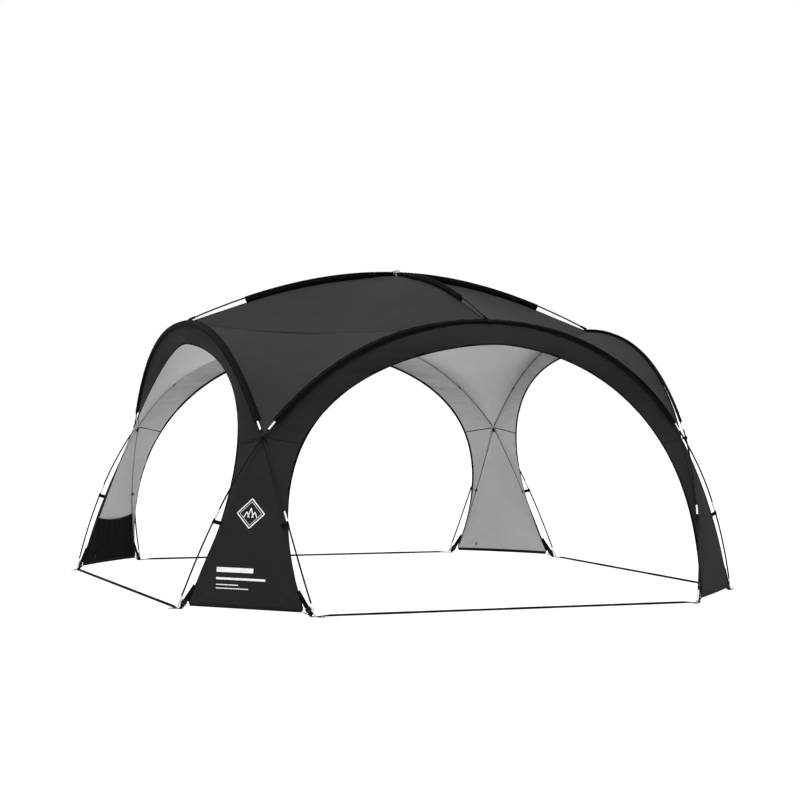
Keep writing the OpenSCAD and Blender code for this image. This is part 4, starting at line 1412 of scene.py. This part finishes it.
def make_hems():
    """Folded hem of each leg, with a tape inside it."""
    group = Group()
    v = np.linspace(0.012, 0.988, 60)
    path = leg_points(0 * v, v)
    part, uv = ribbon(path, unit(LEG_OUT), 0.024, 0.0028, (0.0, -0.0006))
    group.add_turns(part, uv)
    # The hem strip carries the darker copy of the cloth, painted shade.
    group.build("leg_hem_tape", [SHADED_HEM_CLOTH], "hem_tapes", "binding_tape")


make_seams()
make_gathers()
make_bindings()
make_hems()


# ---------------------------------------------------------------- pieces sewn on the legs
def sample(grid, u, v):
    """Points of a grid at fractions u and v."""
    x = np.clip(u, 0, 1) * (grid.shape[0] - 1)
    y = np.clip(v, 0, 1) * (grid.shape[1] - 1)
    i = np.minimum(x.astype(int), grid.shape[0] - 2)
    j = np.minimum(y.astype(int), grid.shape[1] - 2)
    a, b = (x - i)[..., None], (y - j)[..., None]
    return (
        grid[i, j] * (1 - a) * (1 - b) + grid[i + 1, j] * a * (1 - b)
        + grid[i, j + 1] * (1 - a) * b + grid[i + 1, j + 1] * a * b
    )


def leg_at(k, u, v, lift):
    """Points lifted off the cloth of leg k; lift is outward."""
    n = normals_of(LEGS[k])
    n = n * np.sign((n.reshape(-1, 3) @ unit(turn(LEG_OUT, k))).mean())
    return sample(LEGS[k], u, v) + np.asarray(lift)[..., None] * unit(sample(n, u, v))


PATCH_RISE, PATCH_REACH = 0.12, 0.16


def make_corner_patches():
    """Triangles of cloth over both lower corners of each leg."""
    group = Group()
    u, v = np.meshgrid(np.linspace(0, 0.94, 15), np.linspace(0, 1, 11), indexing="ij")
    for k in range(4):
        for left in (False, True):
            across = (1 - u) * v * PATCH_REACH + 0.003
            grid = leg_at(k, u * PATCH_RISE + 0.004, 1 - across if left else across, np.full(u.shape, 0.0016))
            part = sheet_part(grid, None, turn(LEG_OUT, k))
            group.add(part[:2], np.concatenate([part[3]] * 2))
    # The corner patches get the darker copy of the cloth, painted shade.
    group.build("corner_patch_cloth", [SHADED_OXFORD], "corner_patches", "binding_tape")


POCKET_H = 0.36


def make_pocket():
    """Dark pocket inside the back left leg: it hangs a little full, with a bound, sagging mouth."""
    k = 3
    u, v = np.meshgrid(np.linspace(0, 1, 41), np.linspace(0.008, 0.992, 65), indexing="ij")
    mouth = POCKET_H / CROSS_H - 0.03 * 4 * v * (1 - v)
    up = (0.006 + u * (mouth - 0.006)) / LEG_TOP
    fullness = 4 * u * (1 - 0.45 * u) * 4 * v * (1 - v) / 2.4
    depth = 0.0020 + 0.010 * fullness + 0.0015 * ripple(v + 0.15 * u, [0.21, 0.13], 500) * fullness
    grid = leg_at(k, up, v, -depth)
    cloth("storage_pocket", [grid], [-turn(LEG_OUT, k)], [POCKET, POCKET], slot="pocket_cloth")
    bound = Group()
    bound.add(*ribbon(grid[-1], unit(turn(LEG_OUT, k)), 0.014, 0.0030))
    bound.build("storage_pocket_mouth_tape", [TAPE], None, "binding_tape")


make_corner_patches()
make_pocket()


# ---------------------------------------------------------------- plain printed mark
LEG_HEIGHT = float(np.linalg.norm(LEGS[0][-1, 36] - LEGS[0][0, 36]))
LEG_WIDTH = float(np.linalg.norm(LEGS[0][0, -1] - LEGS[0][0, 0]))


INK_LIFT = 0.0004


def on_leg(x, y):
    """Points of the front left leg at x to the right and y up from the middle of its hem."""
    x, y = np.asarray(x, float), np.asarray(y, float)
    u = y / LEG_HEIGHT
    wide = np.interp(u, [0, 1], [LEG_WIDTH, LEG_WIDTH * (1 - LEG_TOP)])
    return leg_at(0, u, 0.5 - x / wide, np.full(x.shape, INK_LIFT))


def strip(left, right):
    """A flat printed strip between two rows of points."""
    n = len(left)
    faces = [(i, i + n, i + 1 + n, i + 1) for i in range(n - 1)]
    return np.concatenate([left, right]), faces


def printed_bar(x0, x1, y, height, slant=0.0):
    x = np.linspace(x0, x1, 24)
    lean = slant * (x - x0)
    return strip(on_leg(x, y + lean), on_leg(x, y + height + lean))


def printed_line(points, width):
    """A stroke of a plain figure, as corner points in the leg's plane."""
    p = Curve(np.c_[np.asarray(points, float), np.zeros(len(points))])
    q = p.at(np.linspace(0, p.length, 16))[:, :2]
    d = np.gradient(q, axis=0)
    n = np.stack([-d[:, 1], d[:, 0]], -1) / np.linalg.norm(d, axis=1)[:, None] * width / 2
    return strip(on_leg(*(q - n).T), on_leg(*(q + n).T))


def make_print():
    """A generic mark in place of lettering: a diamond with three peaks, and plain bars."""
    group = Group()
    x, y, r = -0.010, 0.585, 0.090
    corners = [(x, y - r), (x + r, y), (x, y + r), (x - r, y), (x, y - r)]
    for a, b in zip(corners, corners[1:]):
        group.add(printed_line([a, b], 0.007))
    inner = [(x + 0.80 * (p - x), y + 0.80 * (q - y)) for p, q in corners]
    for a, b in zip(inner, inner[1:]):
        group.add(printed_line([a, b], 0.0025))
    for dx, top in ((-0.026, 0.010), (0.0, 0.034), (0.026, 0.010)):
        group.add(printed_line([(x + dx - 0.018, y - 0.024), (x + dx, y + top)], 0.006))
        group.add(printed_line([(x + dx, y + top), (x + dx + 0.018, y - 0.024)], 0.006))
    group.add(printed_bar(-0.205, 0.045, 0.218, 0.030))
    group.add(printed_bar(-0.205, 0.130, 0.170, 0.014))
    group.add(printed_bar(-0.205, -0.050, 0.135, 0.006))
    group.add(printed_bar(-0.205, 0.020, 0.112, 0.006))
    group.build("front_left_leg_plain_print", [PRINT], None, "canopy_cloth")


make_print()


# ---------------------------------------------------------------- toggles inside the canopy
TOGGLE_LEN, TOGGLE_DEPTH = 0.026, 0.011


def toggle_parts(p, run, out):
    """A small moulded toggle on a loop of cord, sewn by a tab inside the cloth at p."""
    c = p - TOGGLE_DEPTH * out
    ends = [(0.0, 0.0016), (0.0008, 0.0030), (0.0026, 0.0040), (0.0100, 0.0039), (0.0112, 0.0031)]
    stations = ends + [(TOGGLE_LEN - s, r) for s, r in reversed(ends)]
    toggle = lathe(c - TOGGLE_LEN / 2 * run, run, stations, 16)
    t = np.linspace(0.15, 2 * np.pi - 0.15, 20)[:, None]
    loop = c + (0.0026 - 0.0053 * np.cos(t)) * out + 0.0036 * np.sin(t) * unit(np.cross(out, run))
    tab = p - 0.0024 * out + np.array([[-0.011], [0.0], [0.011]]) * run
    return toggle, cord_along(loop, 0.0009, 8), ribbon(tab, out, 0.020, 0.0012)


def make_toggles():
    group = Group()
    seam_at, fold_at = arch_seam(0.72, -1), leg_seam(MID_G)
    top, low = leg_points(np.array(1.0), np.array(0.5)), leg_points(np.array(0.05), np.array(0.2))
    places = [
        (seam_at, unit(arch_seam(0.77, -1) - seam_at), radial(seam_at), True),
        (fold_at, unit(leg_seam(MID_G + 0.05) - fold_at), radial(fold_at), True),
        (top, UP, LEG_OUT, False), (low, UP, LEG_OUT, False),
    ]
    for p, run, out, folds in places:
        out = unit(out)
        run = unit(run - (run @ out) * out)
        toggle, (loop, uv), (tab, tab_uv) = toggle_parts(p, run, out)
        add = group.add_folds if folds else group.add_turns
        add(toggle, None, 0)
        add(loop, uv, 1)
        add(tab, tab_uv, 1)
    group.build("wall_toggle_set", [MOULDED, WEBBING], "wall_toggles", "moulded_plastic")


make_toggles()


# ---------------------------------------------------------------- sliding buckles
BUCKLE_PLAY, BUCKLE_WALL, BUCKLE_LEN, BUCKLE_S = 0.0006, 0.0032, 0.026, 0.25


def soft_box(centre, run, wide, out, size, r=0.0009):
    """A block with rounded edges; size is along run, wide and out."""
    a, b, c = (x / 2 for x in size)
    corners = []
    for sx, sy, start in ((1, 1, 0), (-1, 1, 90), (-1, -1, 180), (1, -1, 270)):
        for t in np.linspace(start, start + 90, 4) * math.pi / 180:
            corners.append((sx * (b - r) + r * math.cos(t), sy * (c - r) + r * math.sin(t)))
    ring = np.array(corners)
    stations = [(-a, 0.0), (-a + 0.3 * r, 0.7), (-a + r, 1.0), (a - r, 1.0), (a - 0.3 * r, 0.7), (a, 0.0)]
    points = []
    for d, grow in stations:
        inset = r * (1 - grow)
        scale = np.array([(b - inset) / b, (c - inset) / c])
        q = ring * scale
        points.append(centre + d * run + q[:, :1] * wide + q[:, 1:] * out)
    return solid(np.concatenate(points), ring_faces(len(stations), len(ring)))


def buckle_parts():
    """A ladder frame: two rails and cross bars over and under the webbing, one with a lip."""
    m = STRAP_LOW + BUCKLE_S * (STRAP_HIGH - STRAP_LOW)
    w, t = WEB_W / 2 + BUCKLE_PLAY, WEB_T / 2 + BUCKLE_PLAY
    axes = (STRAP_RUN, STRAP_WIDE, STRAP_OUT)
    parts = []
    for s in (-1, 1):
        rail = m + s * (w + BUCKLE_WALL / 2) * STRAP_WIDE
        parts.append(soft_box(rail, *axes, (BUCKLE_LEN, BUCKLE_WALL, 2 * t + 2 * BUCKLE_WALL)))
    for e in (-0.36, 0.36):
        for s in (-1, 1):
            bar = m + e * BUCKLE_LEN * STRAP_RUN + s * (t + BUCKLE_WALL / 2) * STRAP_OUT
            parts.append(soft_box(bar, *axes, (0.0066, 2 * w + BUCKLE_WALL, BUCKLE_WALL)))
    return parts


def make_buckle(node, k, on_left):
    group = Group()
    for part in buckle_parts():
        group.add(turned(mirrored(part) if on_left else part, k))
    group.build(node + "_moulding", [MOULDED], node, "moulded_plastic", body=node)


for side in range(4):
    make_buckle(f"{CORNERS[side]}_buckle_{SIDES[side]}", side, False)
    make_buckle(f"{CORNERS[side]}_buckle_{SIDES[side - 1]}", side, True)
